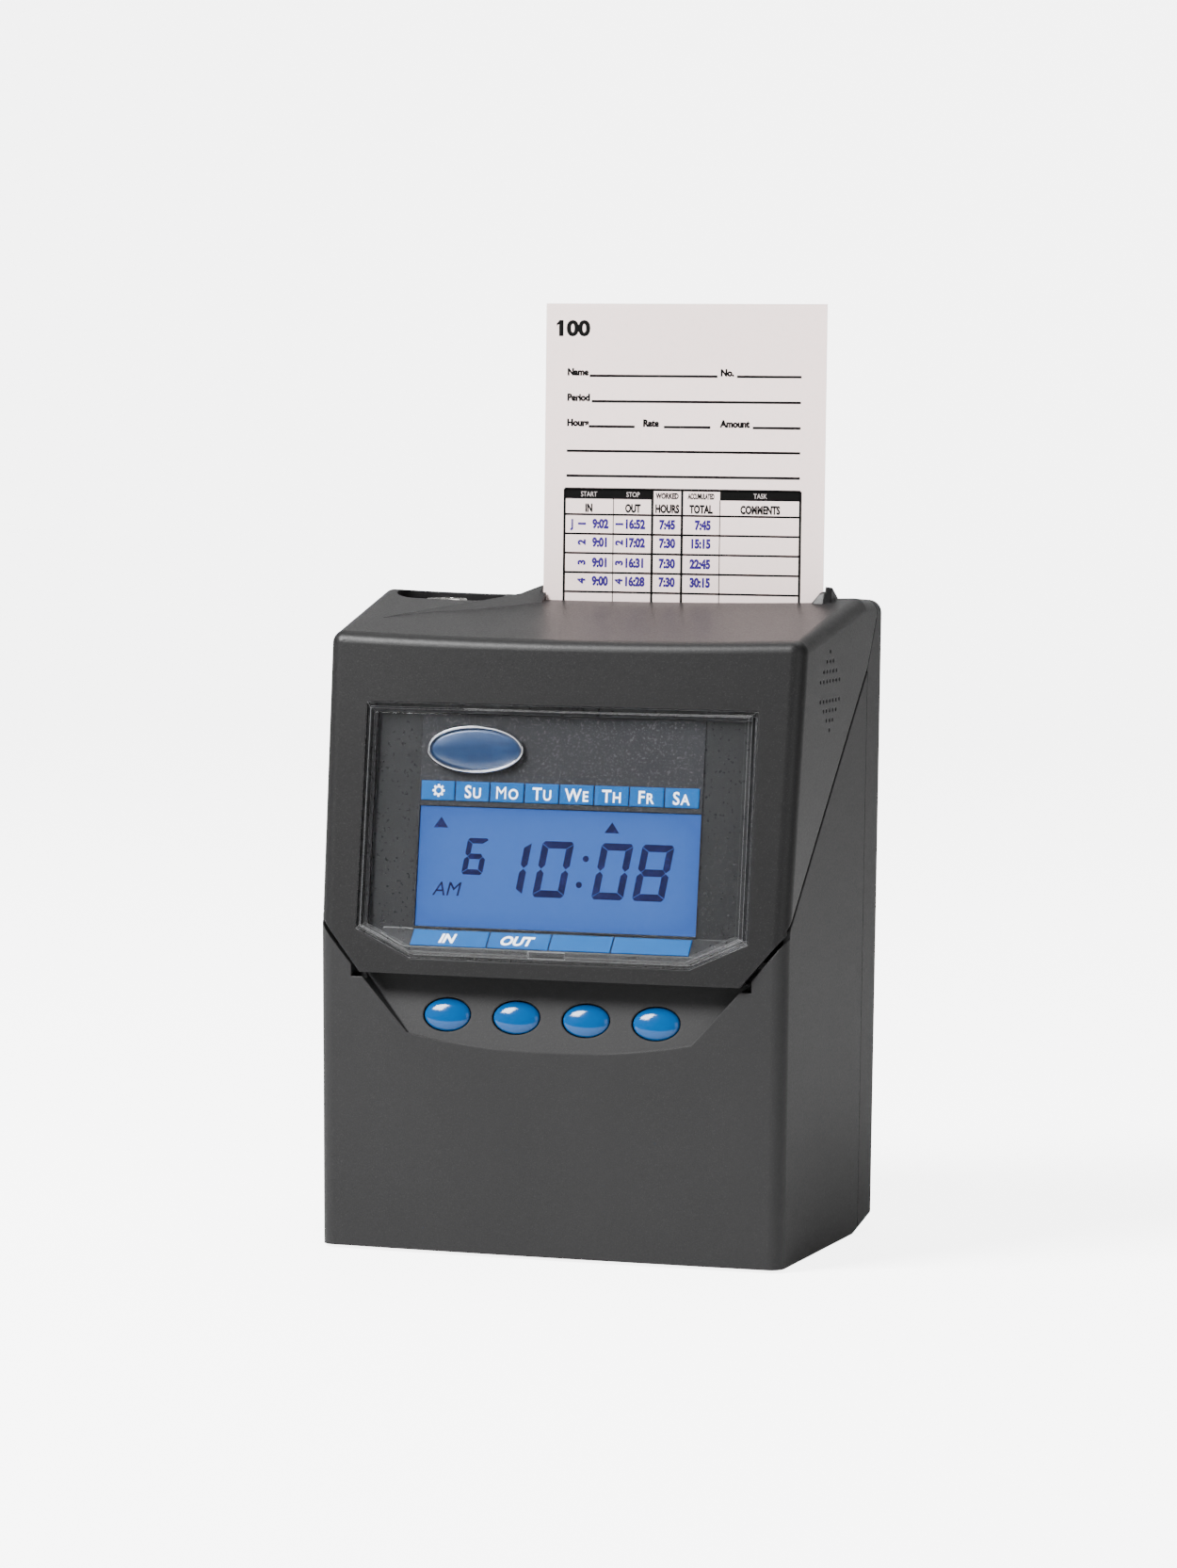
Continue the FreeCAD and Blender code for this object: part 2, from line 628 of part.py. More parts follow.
def tray(outline, shoulder, front, bevel, back):
    """Bevelled block: straight from `back` to `shoulder`, then drawn in to `front`."""
    rings = []
    for y, points in ((shoulder, outline), (front, inset(outline, bevel))):
        rings.append(Part.makePolygon([Vec(x, y, z) for x, z in points] +
                                      [Vec(points[0][0], y, points[0][1])]))
    return Part.makeLoft(rings, True, True).fuse(prism_y(outline, shoulder, back))


def make_display_window():
    front = -window_front
    body = tray(window_outline, -1.0, front, window_bevel, tab_front)
    hollow = tray(inset(window_outline, window_wall), -1.0, front + window_wall, window_bevel, tab_front + 1)
    finger = box(-6.5, 6.5, front - 1, front + 1.0, window_bottom - 1, window_bottom + window_bevel + 1.4)
    return on_face(cut(body, [hollow, finger]))


def make_display_bezel():
    rim = inset(window_outline, -3.0)
    pan = inset(window_outline, window_wall + pan_clear)
    flange = prism_y(rim, tab_front, tab_front + pan_wall)
    for side in (-1, 1):
        for v in tab_heights:
            x0, x1 = sorted((side * (window_half - 2), side * (tab_x + 3)))
            flange = flange.fuse(box(x0, x1, tab_front, tab_front + pan_wall, v - 4, v + 4))
    floor = prism_y(pan, tab_front, pan_depth + pan_wall)
    hollow = prism_y(inset(pan, pan_wall), tab_front - 1, pan_depth)
    sill = prism_x([(pan_depth + 0.5, sill_top), (pan_depth, sill_top), (sill_front, sill_bottom),
                    (sill_front, window_bottom), (pan_depth + 0.5, window_bottom)],
                   -glass_half - 11, glass_half + 11).common(prism_y(inset(pan, 0.4), -5, 12))
    lcd_hole = prism_y(rectangle(-glass_half, glass_half, glass_low, glass_high), -5, 12)
    posts = []
    for x, v in lcd_posts:
        posts.append(rod(2.0, (x, pan_depth + 0.5, v), AXIS_Y, lcd_board_front - pan_depth - 0.5))
    holes = []
    for side in (-1, 1):
        for v in tab_heights:
            holes.append(rod(tab_screw_r + 0.1, (side * tab_x, 0, v), AXIS_Y, 12))
    body = fuse([flange, floor]).cut(hollow)
    body = fuse([body, sill] + posts)
    return on_face(biggest(cut(body, [lcd_hole] + holes)))


def make_bezel_screws():
    screws = []
    for side in (-1, 1):
        for v in tab_heights:
            shank = rod(tab_screw_r, (side * tab_x, 1.0, v), AXIS_Y, tab_front + pan_wall - 1.0)
            head = rod(2.2, (side * tab_x, tab_front + pan_wall, v), AXIS_Y, 1.2)
            screws.append(on_face(shank.fuse(head).removeSplitter()))
    return Part.makeCompound(screws)


def make_face_label():
    sheet = prism_y(rectangle(-label_half, label_half, sill_top + 0.2, label_top),
                    pan_depth - label_thick, pan_depth)
    return on_face(sheet.cut(prism_y(rectangle(-glass_half, glass_half, glass_low, glass_high), 0, 9)))


def make_day_strip():
    cells = []
    pitch = 2 * strip_half / 8
    for k in range(8):
        x = -strip_half + k * pitch
        cells.append(on_face(prism_y(rectangle(x, x + pitch - cell_gap, day_low, day_high),
                                     pan_depth - 2 * label_thick, pan_depth - label_thick)))
    return Part.makeCompound(cells)


def make_function_strip():
    """Four cells lying on the sloping sill under the display."""
    run, rise = pan_depth - sill_front, sill_top - sill_bottom
    length = math.hypot(run, rise)
    ny, nv = -rise / length, run / length
    low = (sill_front + 0.06 * run, sill_bottom + 0.06 * rise)
    high = (pan_depth - 0.08 * run, sill_top - 0.08 * rise)
    section = [low, high, (high[0] + ny * label_thick, high[1] + nv * label_thick),
               (low[0] + ny * label_thick, low[1] + nv * label_thick)]
    edges = (-strip_half, -inner_cell, 0, inner_cell, strip_half)
    cells = []
    for x, x_next in zip(edges, edges[1:]):
        cells.append(on_face(prism_x(section, x, x_next - cell_gap)))
    return Part.makeCompound(cells)


def oval(long_half, short_half, y0, y1):
    ring = Part.Ellipse(Vec(0, 0, 0), long_half, short_half).toShape()
    disc = Part.Face(Part.Wire(ring)).extrude(Vec(0, 0, y1 - y0))
    disc.rotate(Vec(0, 0, 0), AXIS_X, -90)
    disc.translate(Vec(badge_x, y0, badge_v))
    return disc


def make_badge_rim():
    front = pan_depth - label_thick
    rim = oval(badge_long, badge_short, front - 1.2, front)
    return on_face(rim.cut(oval(badge_long - 1.3, badge_short - 1.3, front - 2, front + 1)))


def make_badge_face():
    front = pan_depth - label_thick
    return on_face(oval(badge_long - 1.3, badge_short - 1.3, front - 0.8, front))


def make_lcd_glass():
    pane = rectangle(-glass_half + 0.2, glass_half - 0.2, glass_low + 0.2, glass_high - 0.2)
    return face_prism(pane, pan_depth + 0.4, pan_depth + 0.4 + glass_thick)


def make_lcd_backlight():
    pane = rectangle(-glass_half + 0.2, glass_half - 0.2, glass_low + 0.2, glass_high - 0.2)
    return face_prism(pane, pan_depth + 0.4 + glass_thick, lcd_board_front)


def make_lcd_board():
    return face_prism(rectangle(-56.0, 56.0, 0.0, 50.0), lcd_board_front, lcd_board_front + 1.6)


def make_hinge_pins():
    pins = []
    for side in (-1, 1):
        length = ear_x + ear_thick - lug_x + 0.5
        x0 = lug_x - 0.5 if side > 0 else -lug_x + 0.5 - length
        pins.append(rod(hinge_pin_r, (x0, hinge_y, hinge_z), AXIS_X, length))
    return Part.makeCompound(pins)


def make_sounder():
    return rod(sounder_r, (sounder_face - sounder_thick, back_y - vent_setback, hz(vent_height)),
               AXIS_X, sounder_thick)


# ---- lock ---------------------------------------------------------------
def make_lock_barrel():
    head = rod(lock_head_r, (lock_x, lock_y, pocket_floor), AXIS_Z, lock_head)
    head = head.makeChamfer(0.6, edges_where(head, lambda c, e: c.z > pocket_floor + lock_head - 0.01))
    body = rod(lock_body_r, (lock_x, lock_y, pocket_floor - lock_depth + 1.0), AXIS_Z, lock_depth)
    return fuse([head, body]).cut(
        rod(lock_plug_r + shaft_fit, (lock_x, lock_y, pocket_floor - lock_depth), AXIS_Z, lock_depth + 9))


def make_lock_nut():
    points = []
    for k in range(6):
        a = math.radians(60 * k)
        points.append((lock_x + 9.0 * math.cos(a), lock_y + 9.0 * math.sin(a)))
    nut = prism_z(points, pocket_floor - wall - 4.0, pocket_floor - wall)
    return nut.cut(rod(lock_body_r + 0.02, (lock_x, lock_y, pocket_floor - 12), AXIS_Z, 12))


def make_lock_plug():
    bottom = pocket_floor - lock_depth - 1.0
    plug = rod(lock_plug_r, (lock_x, lock_y, bottom), AXIS_Z, lock_depth + 1.0 + lock_head - 0.2)
    stub = box(lock_x - 2.0, lock_x + 2.0, lock_y - 2.0, lock_y + 2.0, bottom - cam_thick - 1.5, bottom)
    key = box(lock_x - 2.6, lock_x + 2.6, lock_y - 0.6, lock_y + 0.6, pocket_floor - 5, pocket_floor + 9)
    return fuse([plug, stub]).cut(key)


def make_lock_cam():
    top = pocket_floor - lock_depth - 1.0
    half = cam_width / 2
    bar = box(lock_x, lock_x + cam_length - half, lock_y - half, lock_y + half, top - cam_thick, top)
    ends = [rod(half, (lock_x, lock_y, top - cam_thick), AXIS_Z, cam_thick),
            rod(half, (lock_x + cam_length - half, lock_y, top - cam_thick), AXIS_Z, cam_thick)]
    square = box(lock_x - 2.02, lock_x + 2.02, lock_y - 2.02, lock_y + 2.02, top - 9, top + 1)
    return fuse([bar] + ends).cut(square)


# ---- buttons ------------------------------------------------------------
def button_prism(index, grow, y0, y1):
    x = (index - (button_count - 1) / 2) * button_pitch
    ring = Part.Ellipse(Vec(0, 0, 0), button_long / 2 + grow, button_short / 2 + grow).toShape()
    solid = Part.Face(Part.Wire(ring)).extrude(Vec(0, 0, y1 - y0))
    solid.rotate(Vec(0, 0, 0), AXIS_X, -90)
    solid.translate(Vec(x, y0, button_up))
    return on_recess(solid)


def make_button(index):
    """Domed oval cap, a flange behind the panel and a stem for its switch."""
    x = (index - (button_count - 1) / 2) * button_pitch
    ball = Part.makeSphere(1.0)
    stretch = FreeCAD.Matrix()
    stretch.scale(button_long / 2, button_dome, button_short / 2)
    dome = ball.transformGeometry(stretch)
    dome = dome.common(box(-20, 20, -10, 0, -20, 20))
    dome.translate(Vec(x, -0.4, button_up))
    dome = on_recess(dome)
    back = flange_start
    neck = button_prism(index, 0, -0.4, back + 0.2)
    flange = button_prism(index, flange_grow, back, back + flange_thick)
    stem = on_recess(rod(1.6, (x, back + flange_thick - 0.2, button_up), AXIS_Y, stem_length + 0.2))
    return fuse([dome, neck, flange, stem])


def make_button_board():
    half = button_count * button_pitch / 2
    board = on_recess(box(-half, half, switch_board, switch_board + 1.6, button_up - 8, button_up + 6))
    return board


def make_tact_switches():
    switches = []
    for k in range(button_count):
        x = (k - (button_count - 1) / 2) * button_pitch
        body = box(x - 3, x + 3, switch_board - switch_high, switch_board, button_up - 3, button_up + 3)
        knob = rod(1.5, (x, switch_board - switch_high - 0.5, button_up), AXIS_Y, 1.0)
        switches.append(on_recess(fuse([body, knob])))
    return Part.makeCompound(switches)


# ---- card and its path --------------------------------------------------
def path_box(x0, x1, ahead0, ahead1, z0, z1):
    """Box given by distances in front of the card; z counts from the case underside."""
    return on_path(box(x0, x1, card_y - ahead1, card_y - ahead0, hz(z0), hz(z1)))


def path_rod(radius, x, ahead, height, length):
    y, z = path_point(ahead, height)
    return rod(radius, (x, y, z), AXIS_X, length)


half_card = card_thick / 2
chute_in = half_card + card_gap


def make_time_card():
    return path_box(card_left, card_right, -half_card, half_card, card_top - card_height, card_top)


def roller_windows(ahead0, ahead1, radius):
    return [path_box(x - roller_half - 1, x + roller_half + 1, ahead0, ahead1,
                     feed_height - radius, feed_height + radius) for x in roller_places]


def make_chute_front():
    plate = path_box(plate_left + plate_thick, plate_right, chute_in, chute_in + chute_wall,
                     chute_low, chute_top)
    slot = path_box(card_left - 2, card_right, 0, 6, print_height - 6, print_height + 6)
    return cut(plate, roller_windows(0, 6, 9.5) + [slot])


def make_chute_rear():
    plate = path_box(plate_left + plate_thick, plate_right, -chute_in - chute_wall, -chute_in,
                     chute_low, chute_top)
    left = path_box(plate_left + plate_thick, card_left - card_gap, -chute_in, chute_in,
                    chute_low, chute_top)
    right = path_box(card_right + card_gap, plate_right, -chute_in, chute_in, chute_low, chute_top)
    slot = path_box(card_left - 1, card_right + 0.3, -6, 0, print_height - 5.5, print_height + 5.5)
    return cut(fuse([plate, left, right]), roller_windows(-6, 0, 7) + [slot])


def make_platen():
    """Rubber anvil behind the print line, set into the rear chute plate."""
    bar = path_box(card_left - 1, card_right + 0.3, -chute_in - 3.5, -chute_in, print_height - 5.5,
                   print_height + 5.5)
    return bar


def make_card_stop():
    low = card_top - card_height
    return path_box(card_left - 4, card_right, -4.0, 4.0, low - stop_height, low)


def plate_profile():
    """Side plate outline from the deck up to the ribbon cartridge."""
    y_back = back_y - wall - 6
    foot = hz(deck_height) + deck_thick
    return [(fy(48), foot), (y_back, foot), (y_back, hz(cartridge_low - 4)),
            (fy(69), hz(cartridge_low)), (fy(38), hz(cartridge_low)), (fy(30.5), hz(cartridge_low - 11)),
            (fy(30.5), hz(feed_height + 12)), (fy(34), hz(feed_height - 10)), (fy(48), hz(deck_height + 31))]


def make_side_plate(x0):
    plate = prism_x(plate_profile(), x0, x0 + plate_thick)
    holes = [path_rod(shaft_r + shaft_fit, x0 - 1, feed_ahead, feed_height, 5),
             path_rod(shaft_r + shaft_fit, x0 - 1, -pinch_ahead, feed_height, 5),
             path_rod(carriage_shaft_r + 0.01, x0 - 1, shaft_ahead, shaft_height, 5)]
    if x0 < 0:
        holes.append(path_rod(motor_boss_r + 0.1, x0 - 1, pinion_ahead, feed_height, 5))
    y_mid, z_mid = path_point(8, deck_height + 29)
    holes.append(box(x0 - 1, x0 + 4, y_mid - 10, y_mid + 14, z_mid - 14, z_mid + 12))
    return biggest(cut(plate, holes))


def make_deck():
    """Folded sheet on the four columns of the lower case; carries the side plates."""
    low, high = hz(deck_height), hz(deck_height) + deck_thick
    sheet = box(plate_left, plate_right + plate_thick, fy(50), back_y - wall - 6, low, high)
    y, z = path_point(0, deck_height)
    slot = box(card_left + 12, card_right - 12, y - 14, y - 6, low - 1, high + 1)
    return sheet.cut(slot)


def toothed_wheel(teeth, thick, bore):
    pitch_r = gear_module * teeth / 2
    outer, root = pitch_r + gear_module * 0.9, pitch_r - gear_module * 1.15
    points = []
    for k in range(teeth):
        a = 2 * math.pi * k / teeth
        step = 2 * math.pi / teeth
        for share, r in ((-0.30, root), (-0.19, pitch_r), (-0.09, outer), (0.09, outer), (0.19, pitch_r),
                         (0.30, root)):
            points.append((r * math.cos(a + share * step), r * math.sin(a + share * step)))
    wheel = prism_z(points, 0, thick)
    wheel = wheel.cut(rod(bore, (0, 0, -1), AXIS_Z, thick + 2))
    wheel.rotate(Vec(0, 0, 0), AXIS_Y, 90)
    return wheel


def make_feed_shaft():
    return path_rod(shaft_r, plate_left - gear_thick - 1.5, feed_ahead, feed_height,
                    plate_right + plate_thick + 1.0 - plate_left + gear_thick + 1.5)


def make_rolls(radius, ahead, bore):
    rolls = []
    for x in roller_places:
        roll = path_rod(radius, x - roller_half, ahead, feed_height, 2 * roller_half)
        rolls.append(roll.cut(path_rod(bore, x - roller_half - 1, ahead, feed_height, 2 * roller_half + 2)))
    return Part.makeCompound(rolls)


def make_feed_gear():
    y, z = path_point(feed_ahead, feed_height)
    wheel = toothed_wheel(gear_teeth, gear_thick, shaft_r)
    wheel.rotate(Vec(0, 0, 0), AXIS_X, -90 - card_lean)
    spokes = []
    for k in range(5):
        a = 2 * math.pi * k / 5
        spokes.append(rod(2.4, (-1, 7.2 * math.cos(a), 7.2 * math.sin(a)), AXIS_X, gear_thick + 2))
    wheel = cut(wheel, spokes)
    wheel.translate(Vec(plate_left - gear_thick - 0.5, y, z))
    return wheel


def make_feed_pinion():
    """Pinion and its motor shaft."""
    y, z = path_point(pinion_ahead, feed_height)
    wheel = toothed_wheel(pinion_teeth, gear_thick, 1.0)
    wheel.rotate(Vec(0, 0, 0), AXIS_X, 90 + 180 / pinion_teeth - card_lean)
    wheel.translate(Vec(plate_left - gear_thick - 0.5, y, z))
    pin = rod(1.0, (plate_left - gear_thick - 0.5, y, z), AXIS_X, gear_thick + 6)
    return fuse([wheel, pin])


def make_feed_motor():
    body = path_rod(motor_r, plate_left + plate_thick, pinion_ahead, feed_height, motor_length)
    boss = path_rod(motor_boss_r, plate_left + 0.1, pinion_ahead, feed_height, plate_thick + 1)
    hole = path_rod(1.0 + shaft_fit, plate_left - 1, pinion_ahead, feed_height, 9)
    body = fuse([body, boss]).cut(hole)
    return body


def make_pinch_shaft():
    return path_rod(shaft_r, plate_left - 0.2, -pinch_ahead, feed_height,
                    plate_right + plate_thick + 0.4 - plate_left)


# ---- printer ------------------------------------------------------------
def make_carriage_shaft():
    return path_rod(carriage_shaft_r, plate_left, shaft_ahead, shaft_height,
                    plate_right + plate_thick - plate_left)


def make_guide_rail():
    return path_box(plate_left + plate_thick, plate_right, rail_ahead, rail_ahead + 1.5,
                    rail_top - 9.5, rail_top)


def make_print_carriage():
    x0, x1 = home_x - 12, home_x + 12
    sleeve = path_box(x0, x1, shaft_ahead - 6, shaft_ahead + 6, shaft_height - 6, platform_low)
    platform = path_box(x0 + 2, x1 - 2, 7.0, rail_ahead + 5, platform_low, platform_low + 2.5)
    shoe = path_box(home_x - 6, home_x + 6, rail_ahead - 1.9, rail_ahead - 0.3, rail_top - 5, platform_low)
    heel = path_box(home_x - 6, home_x + 6, rail_ahead + 1.8, rail_ahead + 3.4, rail_top - 5, platform_low)
    y_run = belt_ahead - pulley_r - belt_slack - belt_thick
    clamp = path_box(x0, x0 + 8, y_run - 2.6, y_run - 0.3, belt_height - 3, platform_low)
    bore = path_rod(carriage_shaft_r + shaft_fit, x0 - 1, shaft_ahead, shaft_height, 30)
    return fuse([sleeve, platform, shoe, heel, clamp]).cut(bore)


def make_print_head():
    """Impact head: finned body with a narrow nose that faces the card."""
    low = platform_low + 2.5
    body = path_box(home_x - 9, home_x + 9, 9.0, 24.0, low, low + 14)
    gaps = []
    for k in range(4):
        ahead = 11.5 + 3.2 * k
        gaps.append(path_box(home_x - 10, home_x - 6, ahead, ahead + 1.4, low + 2, low + 15))
        gaps.append(path_box(home_x + 6, home_x + 10, ahead, ahead + 1.4, low + 2, low + 15))
    nose = path_box(home_x - 3.5, home_x + 3.5, nose_ahead, 10.0, print_height - 4.2, print_height + 4.2)
    return fuse([cut(body, gaps), nose])


def make_ribbon_cartridge():
    low, high = cartridge_low, cartridge_low + cartridge_high
    case = path_box(plate_left, plate_right + plate_thick, 9, 36, low, high)
    case = case.makeFillet(1.2, edges_where(
        case, lambda c, e: e.BoundBox.XLength > 90 and c.z > hz(high) - 1.5))
    arms = [path_box(plate_left + 2.5, plate_left + 9.5, ribbon_ahead + ribbon_thick, 12,
                     print_height - 5, high - 1),
            path_box(plate_right - 8.5, plate_right - 1.5, ribbon_ahead + ribbon_thick, 12,
                     print_height - 5, high - 1)]
    hub = rod(2.0 + shaft_fit, (knob_x, knob_y, hz(low)), AXIS_Z, 12)
    return fuse([case] + arms).cut(hub)


def make_ribbon():
    return path_box(plate_left + 2.5, plate_right - 1.5, ribbon_ahead, ribbon_ahead + ribbon_thick,
                    print_height - ribbon_height / 2, print_height + ribbon_height / 2)


def make_ribbon_knob():
    y, z0 = knob_y, path_point(knob_ahead, cartridge_low + cartridge_high)[1] + 0.45
    knob = rod(6.0, (knob_x, y, z0), AXIS_Z, 2.2)
    grips = []
    for k in range(12):
        a = 2 * math.pi * k / 12
        grips.append(rod(0.8, (knob_x + 6.2 * math.cos(a), y + 6.2 * math.sin(a), z0 - 1), AXIS_Z, 5))
    stem = rod(2.0, (knob_x, y, z0 - cartridge_high), AXIS_Z, cartridge_high + 0.5)
    return fuse([cut(knob, grips), stem])


def pulley(x, bore):
    y, z = path_point(belt_ahead, belt_height)
    barrel = rod(pulley_r - 0.4, (x, y, z - belt_width / 2 - 0.3), AXIS_Z, belt_width + 0.6)
    teeth = []
    for k in range(16):
        a = 2 * math.pi * k / 16
        teeth.append(rod(0.45, (x + (pulley_r - 0.4) * math.cos(a), y + (pulley_r - 0.4) * math.sin(a),
                                z - belt_width / 2 - 0.3), AXIS_Z, belt_width + 0.6))
    flanges = [rod(pulley_r + 1.6, (x, y, z - belt_width / 2 - 1.1), AXIS_Z, 0.8),
               rod(pulley_r + 1.6, (x, y, z + belt_width / 2 + 0.3), AXIS_Z, 0.8)]
    wheel = fuse([cut(barrel, teeth)] + flanges)
    return wheel.cut(rod(bore, (x, y, z - 9), AXIS_Z, 18))


def make_motor_pulley():
    """Drive pulley with the carriage motor's shaft."""
    y, z = path_point(belt_ahead, belt_height)
    return fuse([pulley(pulley_right, 0.9), rod(1.0, (pulley_right, y, z - 9.5), AXIS_Z, 13)])


def make_drive_belt():
    y, z = path_point(belt_ahead, belt_height)
    r0, r1 = pulley_r + belt_slack, pulley_r + belt_slack + belt_thick

    def loop(r):
        middle = box(pulley_left, pulley_right, y - r, y + r, z - belt_width / 2, z + belt_width / 2)
        ends = [rod(r, (x, y, z - belt_width / 2), AXIS_Z, belt_width) for x in (pulley_left, pulley_right)]
        return fuse([middle] + ends)

    return loop(r1).cut(loop(r0))


def make_carriage_motor():
    y, z = path_point(belt_ahead, belt_height)
    top = z - belt_width / 2 - 3.0
    body = rod(motor_r, (pulley_right, y, top - motor_length), AXIS_Z, motor_length)
    boss = rod(2.5, (pulley_right, y, top - 1), AXIS_Z, 1 + 1.0)
    return fuse([body, boss]).cut(rod(1.0 + shaft_fit, (pulley_right, y, top - 8), AXIS_Z, 12))


def make_motor_bracket():
    """Sheet under the belt: holds the carriage motor and the idler's post."""
    y, z = path_point(belt_ahead, belt_height)
    top = z - belt_width / 2 - 3.0
    sheet = box(plate_left + plate_thick, plate_right, y - 5.2, y + 3.6, top, top + 1.0)
    post = rod(1.5, (pulley_left, y, top), AXIS_Z, 12)
    hole = rod(2.55, (pulley_right, y, top - 1), AXIS_Z, 4)
    return fuse([sheet, post]).cut(hole)


# ---- electronics --------------------------------------------------------
def make_main_board():
    return box(board_left, board_right, fy(12), fy(78), hz(board_height), hz(board_height) + 1.6)


def make_board_components():
    z = hz(board_height) + 1.6
    parts = [box(-8, 6, fy(30), fy(44), z, z + 2.0), box(20, 30, fy(24), fy(44), z, z + 2.6),
             box(-24, -18, fy(50), fy(70), z, z + 9), box(-6, 18, fy(68), fy(75), z, z + 8),
             box(26, 52, fy(69), fy(76), z, z + 8),
             box(board_right - 18, board_right - 6, fy(20), fy(40), z, z + 14)]
    for x, y, r, tall in ((-16, 22, 5.0, 16), (-2, 20, 4.0, 12), (board_right - 26, 56, 6.5, 20),
                          (board_right - 10, 54, 4.0, 12)):
        parts.append(rod(r, (x, fy(y), z), AXIS_Z, tall))
    parts.append(rod(10.0, (8, fy(56), z), AXIS_Z, 3.2))
    return Part.makeCompound(parts)


def make_backup_battery():
    """Three cells in a sleeve that keep the clock running, on the floor of the case."""
    cells = []
    for k in range(3):
        cells.append(rod(7.2, (battery_x, fy(20), base_z + wall + 7.2 + k * 14.0), AXIS_Y, 48.0))
    joined = [box(battery_x - 2.5, battery_x + 2.5, fy(20), fy(68),
                  base_z + wall + 7 + k * 14, base_z + wall + 21 + k * 14) for k in range(2)]
    return fuse(cells + joined)


def make_power_jack():
    y1 = back_y - wall
    body = box(jack_x - 7, jack_x + 7, y1 - 12, y1, hz(jack_height) - 6, hz(jack_height) + 6)
    nozzle = rod(jack_face_r, (jack_x, y1 - 1, hz(jack_height)), AXIS_Y, wall + 1)
    bore = rod(jack_bore_r, (jack_x, back_y - jack_depth, hz(jack_height)), AXIS_Y, jack_depth + 1)
    pin = rod(1.0, (jack_x, back_y - jack_depth - 1, hz(jack_height)), AXIS_Y, jack_depth)
    return fuse([fuse([body, nozzle]).cut(bore), pin])


def make_case_screws():
    screws = []
    for x, z in post_places:
        shank = rod(screw_r, (x, back_y - wall - screw_length, z), AXIS_Y, screw_length + wall - screw_head)
        head = rod(screw_head_r, (x, back_y - screw_head, z), AXIS_Y, screw_head - 0.2)
        slots = [box(x - 2, x + 2, back_y - 0.8, back_y, z - 0.3, z + 0.3),
                 box(x - 0.3, x + 0.3, back_y - 0.8, back_y, z - 2, z + 2)]
        screws.append(cut(fuse([shank, head]), slots))
    return Part.makeCompound(screws)


def make_rubber_feet():
    feet = []
    for x in (-foot_x, foot_x):
        for y in (fy(foot_front), fy(foot_rear)):
            pad = rod(foot_r, (x, y, 0), AXIS_Z, foot_height)
            feet.append(pad)
    return Part.makeCompound(feet)


# ---- build --------------------------------------------------------------
def build():
    pieces = {
        "lower_case": make_lower_case(), "rear_housing": make_rear_housing(),
        "card_throat": make_card_throat(), "rubber_feet": make_rubber_feet(),
        "case_screws": make_case_screws(), "front_cover": make_front_cover(),
        "hinge_pins": make_hinge_pins(), "display_window": make_display_window(),
        "display_bezel": make_display_bezel(), "bezel_screws": make_bezel_screws(),
        "face_label": make_face_label(), "day_strip": make_day_strip(),
        "function_strip": make_function_strip(), "badge_rim": make_badge_rim(),
        "badge_face": make_badge_face(), "lcd_glass": make_lcd_glass(),
        "lcd_backlight": make_lcd_backlight(), "lcd_board": make_lcd_board(),
        "sounder": make_sounder(), "lock_barrel": make_lock_barrel(),
        "lock_nut": make_lock_nut(), "lock_plug": make_lock_plug(), "lock_cam": make_lock_cam(),
        "button_board": make_button_board(), "tact_switches": make_tact_switches(),
        "time_card": make_time_card(), "chute_front": make_chute_front(),
        "chute_rear": make_chute_rear(), "platen": make_platen(), "card_stop": make_card_stop(),
        "left_side_plate": make_side_plate(plate_left), "right_side_plate": make_side_plate(plate_right),
        "deck": make_deck(), "feed_shaft": make_feed_shaft(),
        "feed_rolls": make_rolls(feed_roll_r, feed_ahead, shaft_r),
        "feed_gear": make_feed_gear(), "feed_pinion": make_feed_pinion(),
        "feed_motor": make_feed_motor(), "pinch_shaft": make_pinch_shaft(),
        "pinch_rolls": make_rolls(pinch_roll_r, -pinch_ahead, shaft_r),
        "carriage_shaft": make_carriage_shaft(), "guide_rail": make_guide_rail(),
        "print_carriage": make_print_carriage(), "print_head": make_print_head(),
        "ribbon_cartridge": make_ribbon_cartridge(), "ribbon": make_ribbon(),
        "ribbon_knob": make_ribbon_knob(), "motor_pulley": make_motor_pulley(),
        "idler_pulley": pulley(pulley_left, 1.5 + shaft_fit), "drive_belt": make_drive_belt(),
        "carriage_motor": make_carriage_motor(), "motor_bracket": make_motor_bracket(),
        "main_board": make_main_board(), "board_components": make_board_components(),
        "backup_battery": make_backup_battery(), "power_jack": make_power_jack(),
    }
    for index in range(button_count):
        pieces["button_%d" % (index + 1)] = make_button(index)
    return pieces


if __name__ == "__main__":
    os.makedirs("parts", exist_ok=True)
    for name, shape in build().items():
        shape.exportStep("parts/" + name + ".step")
        print(name, len(shape.Solids), round(shape.Volume, 1))
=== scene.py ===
import math

import bmesh
import bpy
from mathutils import Matrix, Vector


